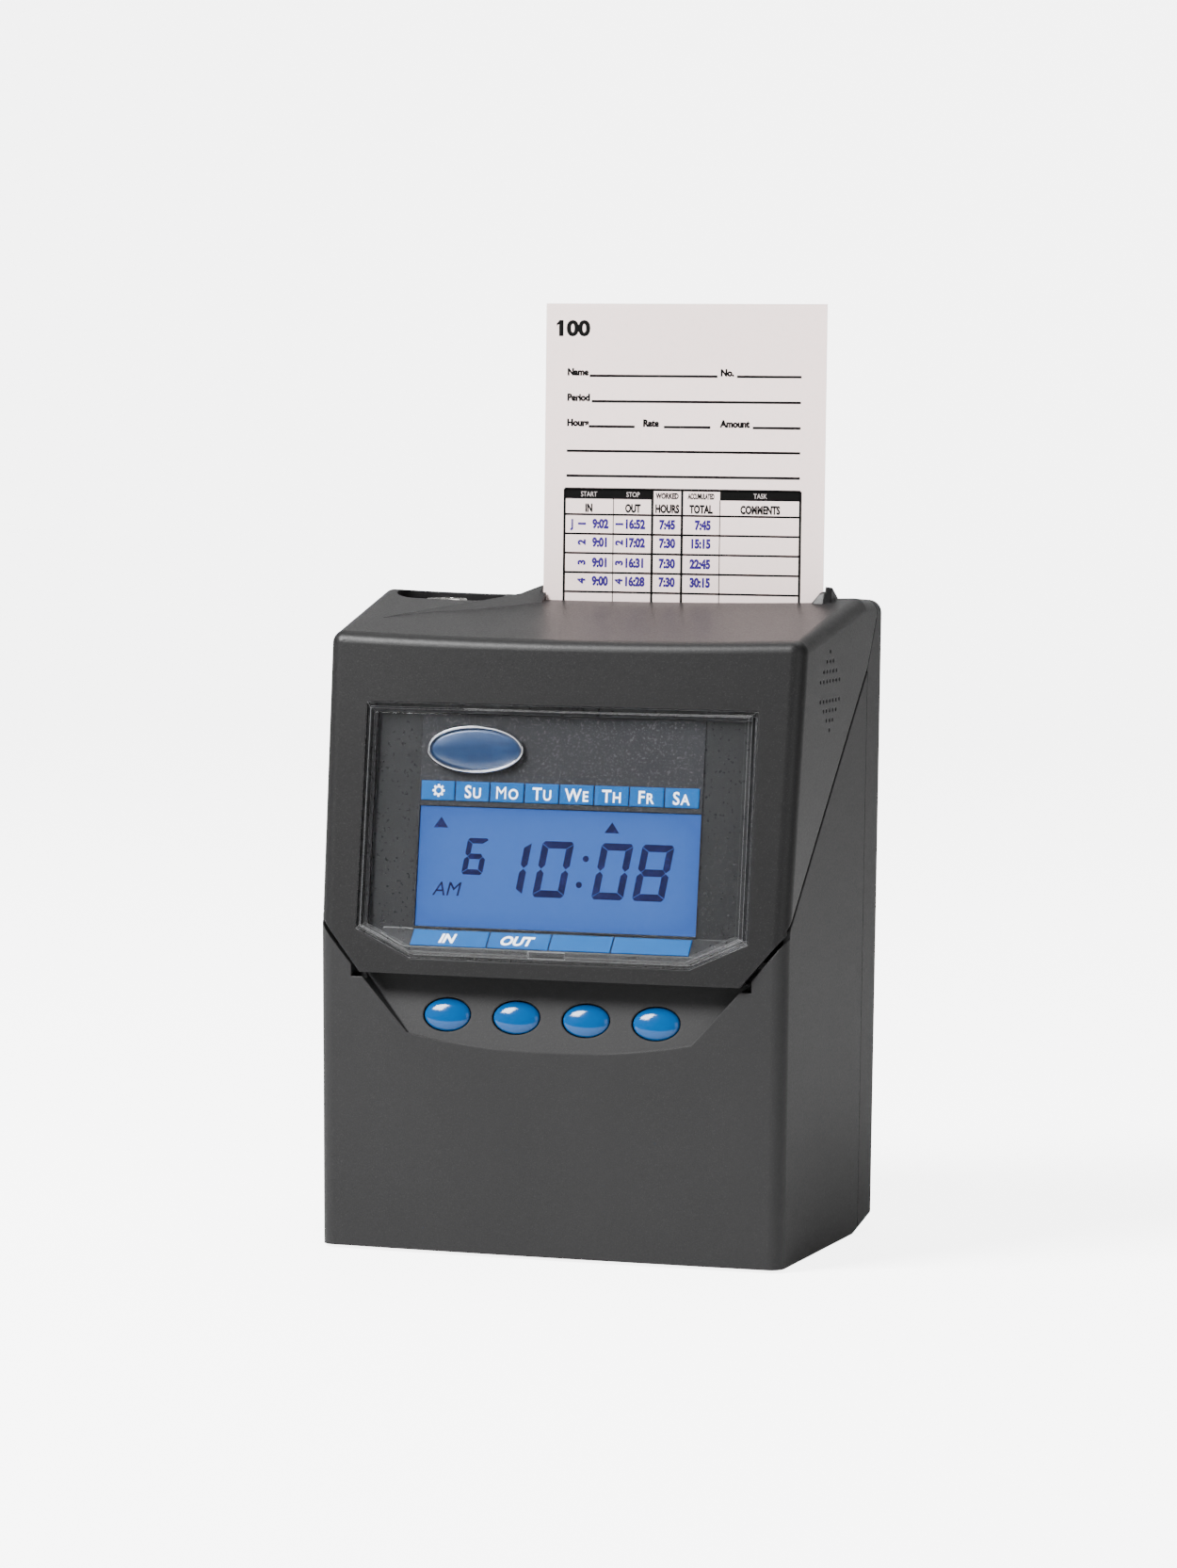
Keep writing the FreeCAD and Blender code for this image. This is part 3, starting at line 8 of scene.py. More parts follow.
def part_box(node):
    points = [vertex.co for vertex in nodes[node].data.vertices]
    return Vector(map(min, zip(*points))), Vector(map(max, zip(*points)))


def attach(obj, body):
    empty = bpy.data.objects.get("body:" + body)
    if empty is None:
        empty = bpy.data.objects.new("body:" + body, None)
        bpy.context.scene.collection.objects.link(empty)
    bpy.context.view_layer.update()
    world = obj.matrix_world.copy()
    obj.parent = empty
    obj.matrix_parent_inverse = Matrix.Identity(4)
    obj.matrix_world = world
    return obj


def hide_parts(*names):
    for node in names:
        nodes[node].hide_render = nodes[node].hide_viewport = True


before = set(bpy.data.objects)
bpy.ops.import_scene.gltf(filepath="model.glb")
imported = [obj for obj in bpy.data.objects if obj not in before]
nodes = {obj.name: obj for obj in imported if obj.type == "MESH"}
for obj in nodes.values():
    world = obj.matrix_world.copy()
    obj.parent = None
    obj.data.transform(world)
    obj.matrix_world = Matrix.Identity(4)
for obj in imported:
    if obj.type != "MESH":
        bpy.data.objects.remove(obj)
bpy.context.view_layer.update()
across = Vector((1, 0, 0))


# shader building
def addNode(tree, kind, values=None, **options):
    node = tree.nodes.new(kind)
    for name, value in options.items():
        setattr(node, name, value)
    for name, value in (values or {}).items():
        node.inputs[name].default_value = value
    return node


def wire(tree, source, target):
    tree.links.new(source, target)


def mixColours(tree, factor, first, second):
    mix = addNode(tree, "ShaderNodeMix", data_type="RGBA")
    for socket, value in ((mix.inputs[0], factor), (mix.inputs[6], first), (mix.inputs[7], second)):
        if isinstance(value, bpy.types.NodeSocket):
            wire(tree, value, socket)
        else:
            socket.default_value = value
    return mix.outputs[2]


def calculate(tree, operation, first, second=0.5, clamp=False):
    # one Math node; each side is a socket or a plain number
    step = addNode(tree, "ShaderNodeMath", operation=operation, use_clamp=clamp)
    for socket, value in zip(step.inputs, (first, second)):
        if isinstance(value, bpy.types.NodeSocket):
            wire(tree, value, socket)
        else:
            socket.default_value = value
    return step.outputs[0]


def remap(tree, value, fromLow, fromHigh, toLow, toHigh):
    step = addNode(tree, "ShaderNodeMapRange", {"From Min": fromLow, "From Max": fromHigh,
                                                "To Min": toLow, "To Max": toHigh})
    wire(tree, value, step.inputs["Value"])
    return step.outputs["Result"]


def makeGroup(name, inputs, outputs):
    group = bpy.data.node_groups.new(name, "ShaderNodeTree")
    for label, value in inputs.items():
        socket = group.interface.new_socket(label, in_out="INPUT", socket_type="NodeSocketFloat")
        socket.default_value = value
    for label, kind in outputs.items():
        group.interface.new_socket(label, in_out="OUTPUT", socket_type=kind)
    return group, group.nodes.new("NodeGroupInput"), group.nodes.new("NodeGroupOutput")


def makeGrainGroup():
    # fine spark-eroded texture of a moulding, with a few lighter specks
    group, given, result = makeGroup("mouldGrain", {"Grain Scale": 1800.0, "Speck Scale": 2600.0},
                                     {"Height": "NodeSocketFloat", "Specks": "NodeSocketFloat",
                                      "Cloud": "NodeSocketFloat"})
    place = addNode(group, "ShaderNodeTexCoord").outputs["Object"]
    grain = addNode(group, "ShaderNodeTexNoise", {"Detail": 3.0, "Roughness": 0.6})
    specks = addNode(group, "ShaderNodeTexNoise", {"Detail": 1.0, "Roughness": 0.4})
    cloud = addNode(group, "ShaderNodeTexNoise", {"Scale": 14.0, "Detail": 3.0, "Roughness": 0.55})
    for texture in (grain, specks, cloud):
        wire(group, place, texture.inputs["Vector"])
    wire(group, given.outputs["Grain Scale"], grain.inputs["Scale"])
    wire(group, given.outputs["Speck Scale"], specks.inputs["Scale"])
    wire(group, grain.outputs["Fac"], result.inputs["Height"])
    wire(group, remap(group, specks.outputs["Fac"], 0.58, 0.72, 0.0, 1.0), result.inputs["Specks"])
    wire(group, remap(group, cloud.outputs["Fac"], 0.3, 0.7, 0.0, 1.0), result.inputs["Cloud"])
    return group


def makeEdgeGroup():
    # rounded normal and a mask that is 1 on edges: worn edges of the mouldings, brighter metal edges, and the
    # painted highlight glow on the window's edges
    group, given, result = makeGroup("edgeWearAndGlow", {"Radius": 0.0004, "Spread": 6.0},
                                     {"Mask": "NodeSocketFloat", "Normal": "NodeSocketVector"})
    bevel = addNode(group, "ShaderNodeBevel", samples=4)
    wire(group, given.outputs["Radius"], bevel.inputs["Radius"])
    flat = addNode(group, "ShaderNodeNewGeometry").outputs["Normal"]
    match = addNode(group, "ShaderNodeVectorMath", operation="DOT_PRODUCT")
    wire(group, bevel.outputs["Normal"], match.inputs[0])
    wire(group, flat, match.inputs[1])
    bent = calculate(group, "SUBTRACT", 1.0, match.outputs["Value"])
    wire(group, calculate(group, "MULTIPLY", bent, given.outputs["Spread"], clamp=True), result.inputs["Mask"])
    wire(group, bevel.outputs["Normal"], result.inputs["Normal"])
    return group


def makeDustGroup():
    # thin dust where a surface looks up
    group, given, result = makeGroup("dustFilm", {"Amount": 0.2}, {"Mask": "NodeSocketFloat"})
    normal = addNode(group, "ShaderNodeSeparateXYZ")
    wire(group, addNode(group, "ShaderNodeNewGeometry").outputs["Normal"], normal.inputs[0])
    facingUp = remap(group, normal.outputs["Z"], 0.35, 1.0, 0.0, 1.0)
    patches = addNode(group, "ShaderNodeTexNoise", {"Scale": 55.0, "Detail": 5.0, "Roughness": 0.7})
    wire(group, addNode(group, "ShaderNodeTexCoord").outputs["Object"], patches.inputs["Vector"])
    dusty = calculate(group, "MULTIPLY", facingUp, patches.outputs["Fac"])
    wire(group, calculate(group, "MULTIPLY", dusty, given.outputs["Amount"], clamp=True), result.inputs["Mask"])
    return group


def makeStreakGroup():
    # long fine lines of drawn bar, rolled sheet and turned metal
    group, given, result = makeGroup("drawnLines", {"Lines": 900.0, "Length": 0.03},
                                     {"Height": "NodeSocketFloat", "Tone": "NodeSocketFloat"})
    stretch = addNode(group, "ShaderNodeCombineXYZ", {"Y": 1.0, "Z": 1.0})
    wire(group, given.outputs["Length"], stretch.inputs["X"])
    drawn = addNode(group, "ShaderNodeVectorMath", operation="MULTIPLY")
    wire(group, addNode(group, "ShaderNodeTexCoord").outputs["Object"], drawn.inputs[0])
    wire(group, stretch.outputs[0], drawn.inputs[1])
    lines = addNode(group, "ShaderNodeTexNoise", {"Detail": 4.0, "Roughness": 0.7})
    wire(group, drawn.outputs[0], lines.inputs["Vector"])
    wire(group, given.outputs["Lines"], lines.inputs["Scale"])
    wire(group, lines.outputs["Fac"], result.inputs["Height"])
    wire(group, remap(group, lines.outputs["Fac"], 0.3, 0.7, 0.0, 1.0), result.inputs["Tone"])
    return group


groups = {"grain": makeGrainGroup(), "edge": makeEdgeGroup(), "dust": makeDustGroup(),
          "streak": makeStreakGroup()}
print("stage: shader groups")


def useGroup(tree, name, **values):
    node = addNode(tree, "ShaderNodeGroup", node_tree=groups[name])
    for label, value in values.items():
        node.inputs[label.replace("_", " ")].default_value = value
    return node


def setSockets(node, values):
    for label, value in values.items():
        node.inputs[label].default_value = value


def newMaterial(name, roughness=0.5, metallic=0.0, specular=0.5):
    material = bpy.data.materials.new(name)
    material.use_nodes = True
    tree = material.node_tree
    shader = tree.nodes["Principled BSDF"]
    setSockets(shader, {"Roughness": roughness, "Metallic": metallic, "Specular IOR Level": specular})
    return material, tree, shader


def bumpFrom(tree, height, shader, strength, distance, normal=None):
    bump = addNode(tree, "ShaderNodeBump", {"Strength": strength, "Distance": distance})
    wire(tree, height, bump.inputs["Height"])
    if normal is not None:
        wire(tree, normal, bump.inputs["Normal"])
    wire(tree, bump.outputs["Normal"], shader.inputs["Normal"])


def paint(red, green, blue):
    return (red, green, blue, 1.0)


# finishes
plainMoulding = {"specular": 0.5, "gloss": 0.06, "speckScale": 2600.0, "specks": 0.0, "wear": 0.25,
                 "edgeRadius": 0.0005, "edgeSpread": 5.0, "dust": 0.1, "dustColour": paint(0.13, 0.125, 0.12),
                 "bumpDepth": 0.0002}


def moulding(name, look):
    # textured or polished plastic: grain, specks, soft worn edges and a little dust
    look = {**plainMoulding, "speckColour": look["colour"], "wearColour": look["shade"], **look}
    material, tree, shader = newMaterial(name, look["roughness"], specular=look["specular"])
    grain = useGroup(tree, "grain", Grain_Scale=look["grainScale"], Speck_Scale=look["speckScale"])
    edge = useGroup(tree, "edge", Radius=look["edgeRadius"], Spread=look["edgeSpread"])
    dust = useGroup(tree, "dust", Amount=look["dust"])
    specks = calculate(tree, "MULTIPLY", grain.outputs["Specks"], look["specks"])
    worn = calculate(tree, "MULTIPLY", edge.outputs["Mask"], look["wear"])
    base = mixColours(tree, grain.outputs["Cloud"], look["colour"], look["shade"])
    base = mixColours(tree, specks, base, look["speckColour"])
    base = mixColours(tree, worn, base, look["wearColour"])
    base = mixColours(tree, dust.outputs["Mask"], base, look["dustColour"])
    wire(tree, base, shader.inputs["Base Color"])
    wire(tree, remap(tree, grain.outputs["Height"], 0.2, 0.8, look["roughness"] - look["gloss"],
                     look["roughness"] + look["gloss"]), shader.inputs["Roughness"])
    bumpFrom(tree, grain.outputs["Height"], shader, look["bump"], look["bumpDepth"], edge.outputs["Normal"])
    return material


def metal(name, look):
    # plated, turned or drawn metal with fine lines and brighter edges
    material, tree, shader = newMaterial(name, look["roughness"], metallic=1.0)
    streak = useGroup(tree, "streak", Lines=look["lines"], Length=look["length"])
    edge = useGroup(tree, "edge", Radius=0.0002, Spread=6.0)
    base = mixColours(tree, streak.outputs["Tone"], look["colour"], look["shade"])
    base = mixColours(tree, edge.outputs["Mask"], base, look["edgeColour"])
    wire(tree, base, shader.inputs["Base Color"])
    wire(tree, remap(tree, streak.outputs["Tone"], 0.0, 1.0, look["roughness"] - 0.06,
                     look["roughness"] + 0.1), shader.inputs["Roughness"])
    bumpFrom(tree, streak.outputs["Height"], shader, look["bump"], 0.0001, edge.outputs["Normal"])
    return material


def ink(name, colour, roughness=0.6):
    # printed ink, a little uneven as it comes off the plate
    material, tree, shader = newMaterial(name, roughness, specular=0.08)
    grain = useGroup(tree, "grain", Grain_Scale=2500.0, Speck_Scale=3500.0)
    thin = tuple(min(1.0, c * 1.15 + 0.0008) for c in colour[:3]) + (1.0,)
    wire(tree, mixColours(tree, grain.outputs["Specks"], colour, thin), shader.inputs["Base Color"])
    bumpFrom(tree, grain.outputs["Height"], shader, 0.08, 0.0001)
    return material


housingLook = {"colour": paint(0.0150, 0.0149, 0.0154), "shade": paint(0.0178, 0.0176, 0.0181),
               "roughness": 0.53, "specular": 0.23, "grainScale": 1500.0, "bump": 0.2, "specks": 0.35,
               "speckColour": paint(0.03, 0.0295, 0.0295), "wear": 0.2,
               "wearColour": paint(0.045, 0.0445, 0.045), "dust": 0.03, "edgeRadius": 0.0007}
coverLook = dict(housingLook, colour=paint(0.0062, 0.0061, 0.0065), roughness=0.42, specular=0.27,
                 shade=paint(0.0078, 0.0077, 0.0080))
bezelLook = {"colour": paint(0.0095, 0.0095, 0.0102), "shade": paint(0.0125, 0.0125, 0.013),
             "roughness": 0.3, "specular": 0.4, "grainScale": 900.0, "bump": 0.05, "wear": 0.1,
             "wearColour": paint(0.04, 0.04, 0.042), "dust": 0.02}
labelLook = {"colour": paint(0.0098, 0.0098, 0.0112), "shade": paint(0.0132, 0.0132, 0.0148),
             "specular": 0.15, "roughness": 0.55, "grainScale": 1200.0, "speckScale": 1300.0, "bump": 0.06,
             "specks": 0.6, "speckColour": paint(0.055, 0.055, 0.059), "wear": 0.0, "dust": 0.0}
stripLook = {"colour": paint(0.0, 0.050, 0.178), "shade": paint(0.0002, 0.056, 0.195), "roughness": 0.5,
             "specular": 0.12, "grainScale": 1600.0, "speckScale": 1500.0, "bump": 0.04, "specks": 0.3,
             "speckColour": paint(0.003, 0.072, 0.22), "wear": 0.0, "dust": 0.0}
buttonLook = {"colour": paint(0.0002, 0.056, 0.198), "shade": paint(0.0004, 0.064, 0.215), "roughness": 0.12,
              "gloss": 0.03, "specular": 0.4, "grainScale": 400.0, "bump": 0.01, "wear": 0.05,
              "wearColour": paint(0.08, 0.2, 0.36), "dust": 0.0, "edgeRadius": 0.0003}
rubberLook = {"colour": paint(0.007, 0.007, 0.007), "shade": paint(0.011, 0.011, 0.011), "roughness": 0.82,
              "specular": 0.3, "grainScale": 1400.0, "bump": 0.3, "wear": 0.3,
              "wearColour": paint(0.025, 0.025, 0.025), "dust": 0.15}
innerLook = {"colour": paint(0.014, 0.014, 0.0145), "shade": paint(0.02, 0.02, 0.0205), "roughness": 0.5,
             "specular": 0.4, "grainScale": 1000.0, "bump": 0.1, "wear": 0.3,
             "wearColour": paint(0.05, 0.05, 0.05), "dust": 0.1}
nylonLook = {"colour": paint(0.42, 0.40, 0.35), "shade": paint(0.36, 0.34, 0.29), "roughness": 0.42,
             "grainScale": 700.0, "bump": 0.06, "wear": 0.3, "wearColour": paint(0.52, 0.5, 0.46),
             "dust": 0.05}
boardLook = {"colour": paint(0.006, 0.05, 0.02), "shade": paint(0.009, 0.07, 0.028), "roughness": 0.3,
             "grainScale": 500.0, "bump": 0.04, "specks": 0.2, "speckColour": paint(0.1, 0.15, 0.06),
             "wear": 0.6, "wearColour": paint(0.2, 0.18, 0.1), "dust": 0.04}
chipLook = {"colour": paint(0.01, 0.01, 0.0105), "shade": paint(0.017, 0.017, 0.0175), "roughness": 0.55,
            "grainScale": 1300.0, "bump": 0.12, "wear": 0.3, "wearColour": paint(0.055, 0.055, 0.055),
            "dust": 0.05}
batteryLook = {"colour": paint(0.014, 0.085, 0.036), "shade": paint(0.018, 0.105, 0.045), "roughness": 0.28,
               "grainScale": 250.0, "bump": 0.12, "wear": 0.2, "wearColour": paint(0.07, 0.17, 0.1)}
lightLook = {"colour": paint(0.5, 0.5, 0.49), "shade": paint(0.44, 0.45, 0.46), "roughness": 0.4,
             "grainScale": 800.0, "bump": 0.04, "wear": 0.1}
steelLook = {"colour": paint(0.42, 0.42, 0.41), "shade": paint(0.33, 0.33, 0.32), "roughness": 0.34,
             "edgeColour": paint(0.6, 0.6, 0.6), "lines": 1100.0, "length": 0.04, "bump": 0.12}
nickelLook = {"colour": paint(0.56, 0.55, 0.52), "shade": paint(0.46, 0.45, 0.42), "roughness": 0.18,
              "edgeColour": paint(0.8, 0.8, 0.78), "lines": 1600.0, "length": 1.0, "bump": 0.06}
chromeLook = {"colour": paint(0.80, 0.81, 0.84), "shade": paint(0.70, 0.71, 0.74), "roughness": 0.08,
              "edgeColour": paint(0.92, 0.92, 0.94), "lines": 300.0, "length": 1.0, "bump": 0.01}
brassLook = {"colour": paint(0.55, 0.40, 0.16), "shade": paint(0.44, 0.31, 0.12), "roughness": 0.3,
             "edgeColour": paint(0.7, 0.56, 0.28), "lines": 700.0, "length": 0.5, "bump": 0.1}
castLook = {"colour": paint(0.2, 0.2, 0.205), "shade": paint(0.15, 0.15, 0.155), "roughness": 0.45,
            "edgeColour": paint(0.36, 0.36, 0.36), "lines": 900.0, "length": 1.0, "bump": 0.25}


def clearMoulding():
    # polished clear plastic: hardly bends what lies behind it, and its edges glow with a painted highlight
    look = {"shader": {"Base Color": paint(0.98, 0.985, 0.99), "Transmission Weight": 1.0, "IOR": 1.06,
                       "Coat Weight": 0.55, "Coat Roughness": 0.03, "Coat IOR": 1.49, "Emission Strength": 1.0},
            "cloudScale": 120.0, "edgeRadius": 0.00028, "edgeSpread": 7.0, "smoothest": 0.008, "roughest": 0.03,
            "paintedMiddleGlow": paint(0, 0, 0), "paintedEdgeHighlight": paint(0.40, 0.41, 0.42),
            "through": paint(0.95, 0.96, 0.97)}
    material, tree, shader = newMaterial("clearWindow", 0.02)
    setSockets(shader, look["shader"])
    grain = useGroup(tree, "grain", Grain_Scale=look["cloudScale"])
    edge = useGroup(tree, "edge", Radius=look["edgeRadius"], Spread=look["edgeSpread"])
    wire(tree, remap(tree, grain.outputs["Cloud"], 0.0, 1.0, look["smoothest"], look["roughest"]),
         shader.inputs["Roughness"])
    # painted highlight: the window's edges glow by emission, in place of lit bevels
    wire(tree, mixColours(tree, edge.outputs["Mask"], look["paintedMiddleGlow"], look["paintedEdgeHighlight"]),
         shader.inputs["Emission Color"])
    # light for what lies behind it passes straight through
    through = addNode(tree, "ShaderNodeBsdfTransparent", {"Color": look["through"]})
    blend = addNode(tree, "ShaderNodeMixShader")
    wire(tree, addNode(tree, "ShaderNodeLightPath").outputs["Is Shadow Ray"], blend.inputs[0])
    wire(tree, shader.outputs[0], blend.inputs[1])
    wire(tree, through.outputs[0], blend.inputs[2])
    wire(tree, blend.outputs[0], tree.nodes["Material Output"].inputs["Surface"])
    return material


def litPane():
    # backlit liquid crystal: even blue with deeper edges
    look = {"middle": paint(0.055, 0.17, 0.60), "rim": paint(0.036, 0.125, 0.50),
            "pane": paint(0.006, 0.012, 0.035), "fall": {"X": 7.0, "Z": 5.0}}
    material, tree, shader = newMaterial("litPane", 0.25, specular=0.25)
    setSockets(shader, {"Base Color": look["pane"], "Emission Strength": 1.0})
    low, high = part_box("lcd_glass")
    centre, half = (low + high) / 2, (high - low) / 2
    place = addNode(tree, "ShaderNodeSeparateXYZ")
    wire(tree, addNode(tree, "ShaderNodeTexCoord").outputs["Object"], place.inputs[0])
    shares = []
    for label, mid, reach in (("X", centre.x, half.x), ("Z", centre.z, half.z)):
        share = calculate(tree, "DIVIDE", calculate(tree, "SUBTRACT", place.outputs[label], mid), reach)
        shares.append(calculate(tree, "POWER", calculate(tree, "ABSOLUTE", share), look["fall"][label]))
    rim = calculate(tree, "ADD", shares[0], shares[1], clamp=True)
    wire(tree, mixColours(tree, rim, look["middle"], look["rim"]), shader.inputs["Emission Color"])
    grain = useGroup(tree, "grain", Grain_Scale=900.0)
    bumpFrom(tree, grain.outputs["Height"], shader, 0.02, 0.0001)
    return material


def cardStock():
    # uncoated pinkish board with faint fibres
    look = {"colour": paint(0.99, 0.815, 0.78), "shade": paint(0.98, 0.80, 0.765),
            "fibre": paint(0.91, 0.77, 0.74), "fibres": 0.35, "bump": 0.12}
    material, tree, shader = newMaterial("cardStock", 0.78, specular=0.3)
    grain = useGroup(tree, "grain", Grain_Scale=1400.0, Speck_Scale=500.0)
    fibre = calculate(tree, "MULTIPLY", grain.outputs["Specks"], look["fibres"])
    base = mixColours(tree, grain.outputs["Cloud"], look["colour"], look["shade"])
    wire(tree, mixColours(tree, fibre, base, look["fibre"]), shader.inputs["Base Color"])
    bumpFrom(tree, grain.outputs["Height"], shader, look["bump"], 0.0001)
    return material


def wovenRibbon():
    # inked fabric tape
    look = {"weave": 900.0, "valley": paint(0.025, 0.015, 0.06), "thread": paint(0.05, 0.035, 0.1), "bump": 0.3}
    material, tree, shader = newMaterial("inkRibbon", 0.7)
    weave = addNode(tree, "ShaderNodeTexWave", {"Scale": look["weave"], "Distortion": 0.6}, wave_type="BANDS")
    wire(tree, addNode(tree, "ShaderNodeTexCoord").outputs["Object"], weave.inputs["Vector"])
    wire(tree, mixColours(tree, weave.outputs["Fac"], look["valley"], look["thread"]),
         shader.inputs["Base Color"])
    bumpFrom(tree, weave.outputs["Fac"], shader, look["bump"], 0.0001)
    return material


def enamel():
    # bare blue field of the badge, slightly metallic under a clear coat
    look = {"colour": paint(0.006, 0.022, 0.066), "shade": paint(0.009, 0.031, 0.085), "bump": 0.03,
            "coat": {"Coat Weight": 0.8, "Coat Roughness": 0.06}}
    material, tree, shader = newMaterial("badgeEnamel", 0.3, metallic=0.35)
    setSockets(shader, look["coat"])
    streak = useGroup(tree, "streak", Lines=500.0, Length=0.2)
    wire(tree, mixColours(tree, streak.outputs["Tone"], look["colour"], look["shade"]),
         shader.inputs["Base Color"])
    bumpFrom(tree, streak.outputs["Height"], shader, look["bump"], 0.0001)
    return material


finishes = {
    "housing": moulding("housingMoulding", housingLook), "cover": moulding("coverMoulding", coverLook),
    "bezel": moulding("bezelMoulding", bezelLook),
    "label": moulding("labelSheet", labelLook), "strip": moulding("stripPrint", stripLook),
    "button": moulding("buttonMoulding", buttonLook), "rubber": moulding("blackRubber", rubberLook),
    "inner": moulding("innerMoulding", innerLook), "nylon": moulding("naturalNylon", nylonLook),
    "board": moulding("circuitBoard", boardLook), "chip": moulding("componentBody", chipLook),
    "battery": moulding("batterySleeve", batteryLook), "light": moulding("lightGuide", lightLook),
    "steel": metal("platedSteel", steelLook), "nickel": metal("nickelPlate", nickelLook),
    "chrome": metal("brightChrome", chromeLook), "brass": metal("brassDisc", brassLook),
    "cast": metal("castAlloy", castLook), "window": clearMoulding(), "lcd": litPane(),
    "card": cardStock(), "ribbon": wovenRibbon(), "enamel": enamel(),
    "whiteInk": ink("whiteInk", paint(0.9, 0.92, 0.95)),
    "blackInk": ink("blackInk", paint(0.0012, 0.0012, 0.0012)),
    "purpleInk": ink("stampInk", paint(0.032, 0.016, 0.155)),
    "digitInk": ink("digitInk", paint(0.0015, 0.0025, 0.026), 0.5),
    "cardWhite": ink("reversedPrint", paint(0.50, 0.45, 0.44)),
}

nodeFinish = {
    "housing": ["lower_case", "rear_housing", "card_throat"], "cover": ["front_cover"],
    "rubber": ["rubber_feet", "feed_rolls", "pinch_rolls", "platen", "drive_belt"],
    "steel": ["case_screws", "bezel_screws", "hinge_pins", "left_side_plate", "right_side_plate", "deck",
              "feed_shaft", "pinch_shaft", "carriage_shaft", "guide_rail", "motor_bracket", "feed_motor",
              "carriage_motor"],
    "window": ["display_window"], "bezel": ["display_bezel"], "label": ["face_label"],
    "strip": ["day_strip", "function_strip"], "chrome": ["badge_rim"], "lcd": ["lcd_glass"],
    "light": ["lcd_backlight"], "board": ["lcd_board", "button_board", "main_board"],
    "chip": ["board_components", "tact_switches", "power_jack"], "brass": ["sounder"],
    "nickel": ["lock_barrel", "lock_nut", "lock_plug", "lock_cam"],
    "nylon": ["feed_gear", "feed_pinion", "motor_pulley", "idler_pulley", "ribbon_knob"],
    "inner": ["chute_front", "chute_rear", "card_stop", "print_carriage", "ribbon_cartridge"],
    "cast": ["print_head"], "ribbon": ["ribbon"], "battery": ["backup_battery"], "card": ["time_card"],
    "button": ["button_1", "button_2", "button_3", "button_4"], "enamel": ["badge_face"],
}


def dressNodes():
    for finish, names in nodeFinish.items():
        for name in names:
            mesh = nodes[name].data
            mesh.materials.clear()
            mesh.materials.append(finishes[finish])


dressNodes()
print("stage: finishes")


# flat faces of the frame and what is printed on them
printing = {"forward": -0.3, "sameFace": 0.00002, "onFace": 0.00003,   # how a node's front face is found
            "sunk": -0.00002, "proud": 0.00004, "letter": 0.00003,     # how deep and high the ink lies
            "capShare": 0.729}                                         # height of a capital at text size 1


def frontPlane(name):
    # the flat face of a node that looks forward: its axes, its depth and its edges
    mesh = nodes[name].data
    forward = [f for f in mesh.polygons if f.normal.y < printing["forward"]]
    main = max(forward, key=lambda face: face.area)
    out = main.normal.copy()
    up = out.cross(across)
    nearby = [out.dot(v.co) for v in mesh.vertices
              if abs(out.dot(v.co) - out.dot(main.center)) < printing["sameFace"]]
    depth = max(nearby)
    onFace = [v.co for v in mesh.vertices if abs(out.dot(v.co) - depth) < printing["onFace"]]
    return {"out": out, "up": up, "depth": depth,
            "left": min(p.x for p in onFace), "right": max(p.x for p in onFace),
            "low": min(up.dot(p) for p in onFace), "high": max(up.dot(p) for p in onFace)}


def onPlane(plane, x, v, lift=0.0):
    return across * x + plane["up"] * v + plane["out"] * (plane["depth"] + lift)


def addSlab(mesh, plane, outline, low=printing["sunk"], high=printing["proud"]):
    # a thin prism over an outline of (x, v) points, standing on the plane
    base = [mesh.verts.new(onPlane(plane, x, v, low)) for x, v in outline]
    top = [mesh.verts.new(onPlane(plane, x, v, high)) for x, v in outline]
    mesh.faces.new(top)
    mesh.faces.new(list(reversed(base)))
    for k in range(len(outline)):
        nextK = (k + 1) % len(outline)
        mesh.faces.new((base[k], base[nextK], top[nextK], top[k]))


def addBar(mesh, plane, x0, x1, v0, v1):
    addSlab(mesh, plane, [(x0, v0), (x1, v0), (x1, v1), (x0, v1)])


def addDisc(mesh, plane, x, v, radius, slices=24):
    turns = [2 * math.pi * k / slices for k in range(slices)]
    addSlab(mesh, plane, [(x + radius * math.cos(t), v + radius * math.sin(t)) for t in turns])


def addText(mesh, plane, words, x, v, height, bold=0.0, slant=0.0, squeeze=1.0, turn=0.0,
            align="CENTER"):
    # words with their baseline at v, as thin solid letters
    curve = bpy.data.curves.new("letters", "FONT")
    curve.body = words
    curve.size = height / printing["capShare"]
    curve.offset = bold
    curve.shear = slant
    curve.extrude = printing["letter"]
    curve.resolution_u = 4
    curve.align_x = align
    holder = bpy.data.objects.new("letters", curve)
    bpy.context.scene.collection.objects.link(holder)
    solid = bpy.data.meshes.new_from_object(holder.evaluated_get(bpy.context.evaluated_depsgraph_get()))
    cosTurn, sinTurn = math.cos(turn), math.sin(turn)
    for vertex in solid.vertices:
        flatX, flatV, lift = vertex.co.x * squeeze, vertex.co.y, vertex.co.z
        vertex.co = onPlane(plane, x + flatX * cosTurn - flatV * sinTurn,
                            v + flatX * sinTurn + flatV * cosTurn, lift)
    mesh.from_mesh(solid)
    bpy.data.objects.remove(holder)
    bpy.data.curves.remove(curve)
    bpy.data.meshes.remove(solid)


def makePiece(name, mesh, finish, body):
    bmesh.ops.recalc_face_normals(mesh, faces=mesh.faces)
    data = bpy.data.meshes.new(name)
    mesh.to_mesh(data)
    mesh.free()
    piece = bpy.data.objects.new(name, data)
    bpy.context.scene.collection.objects.link(piece)
    data.materials.append(finishes[finish])
    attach(piece, body)
    return piece


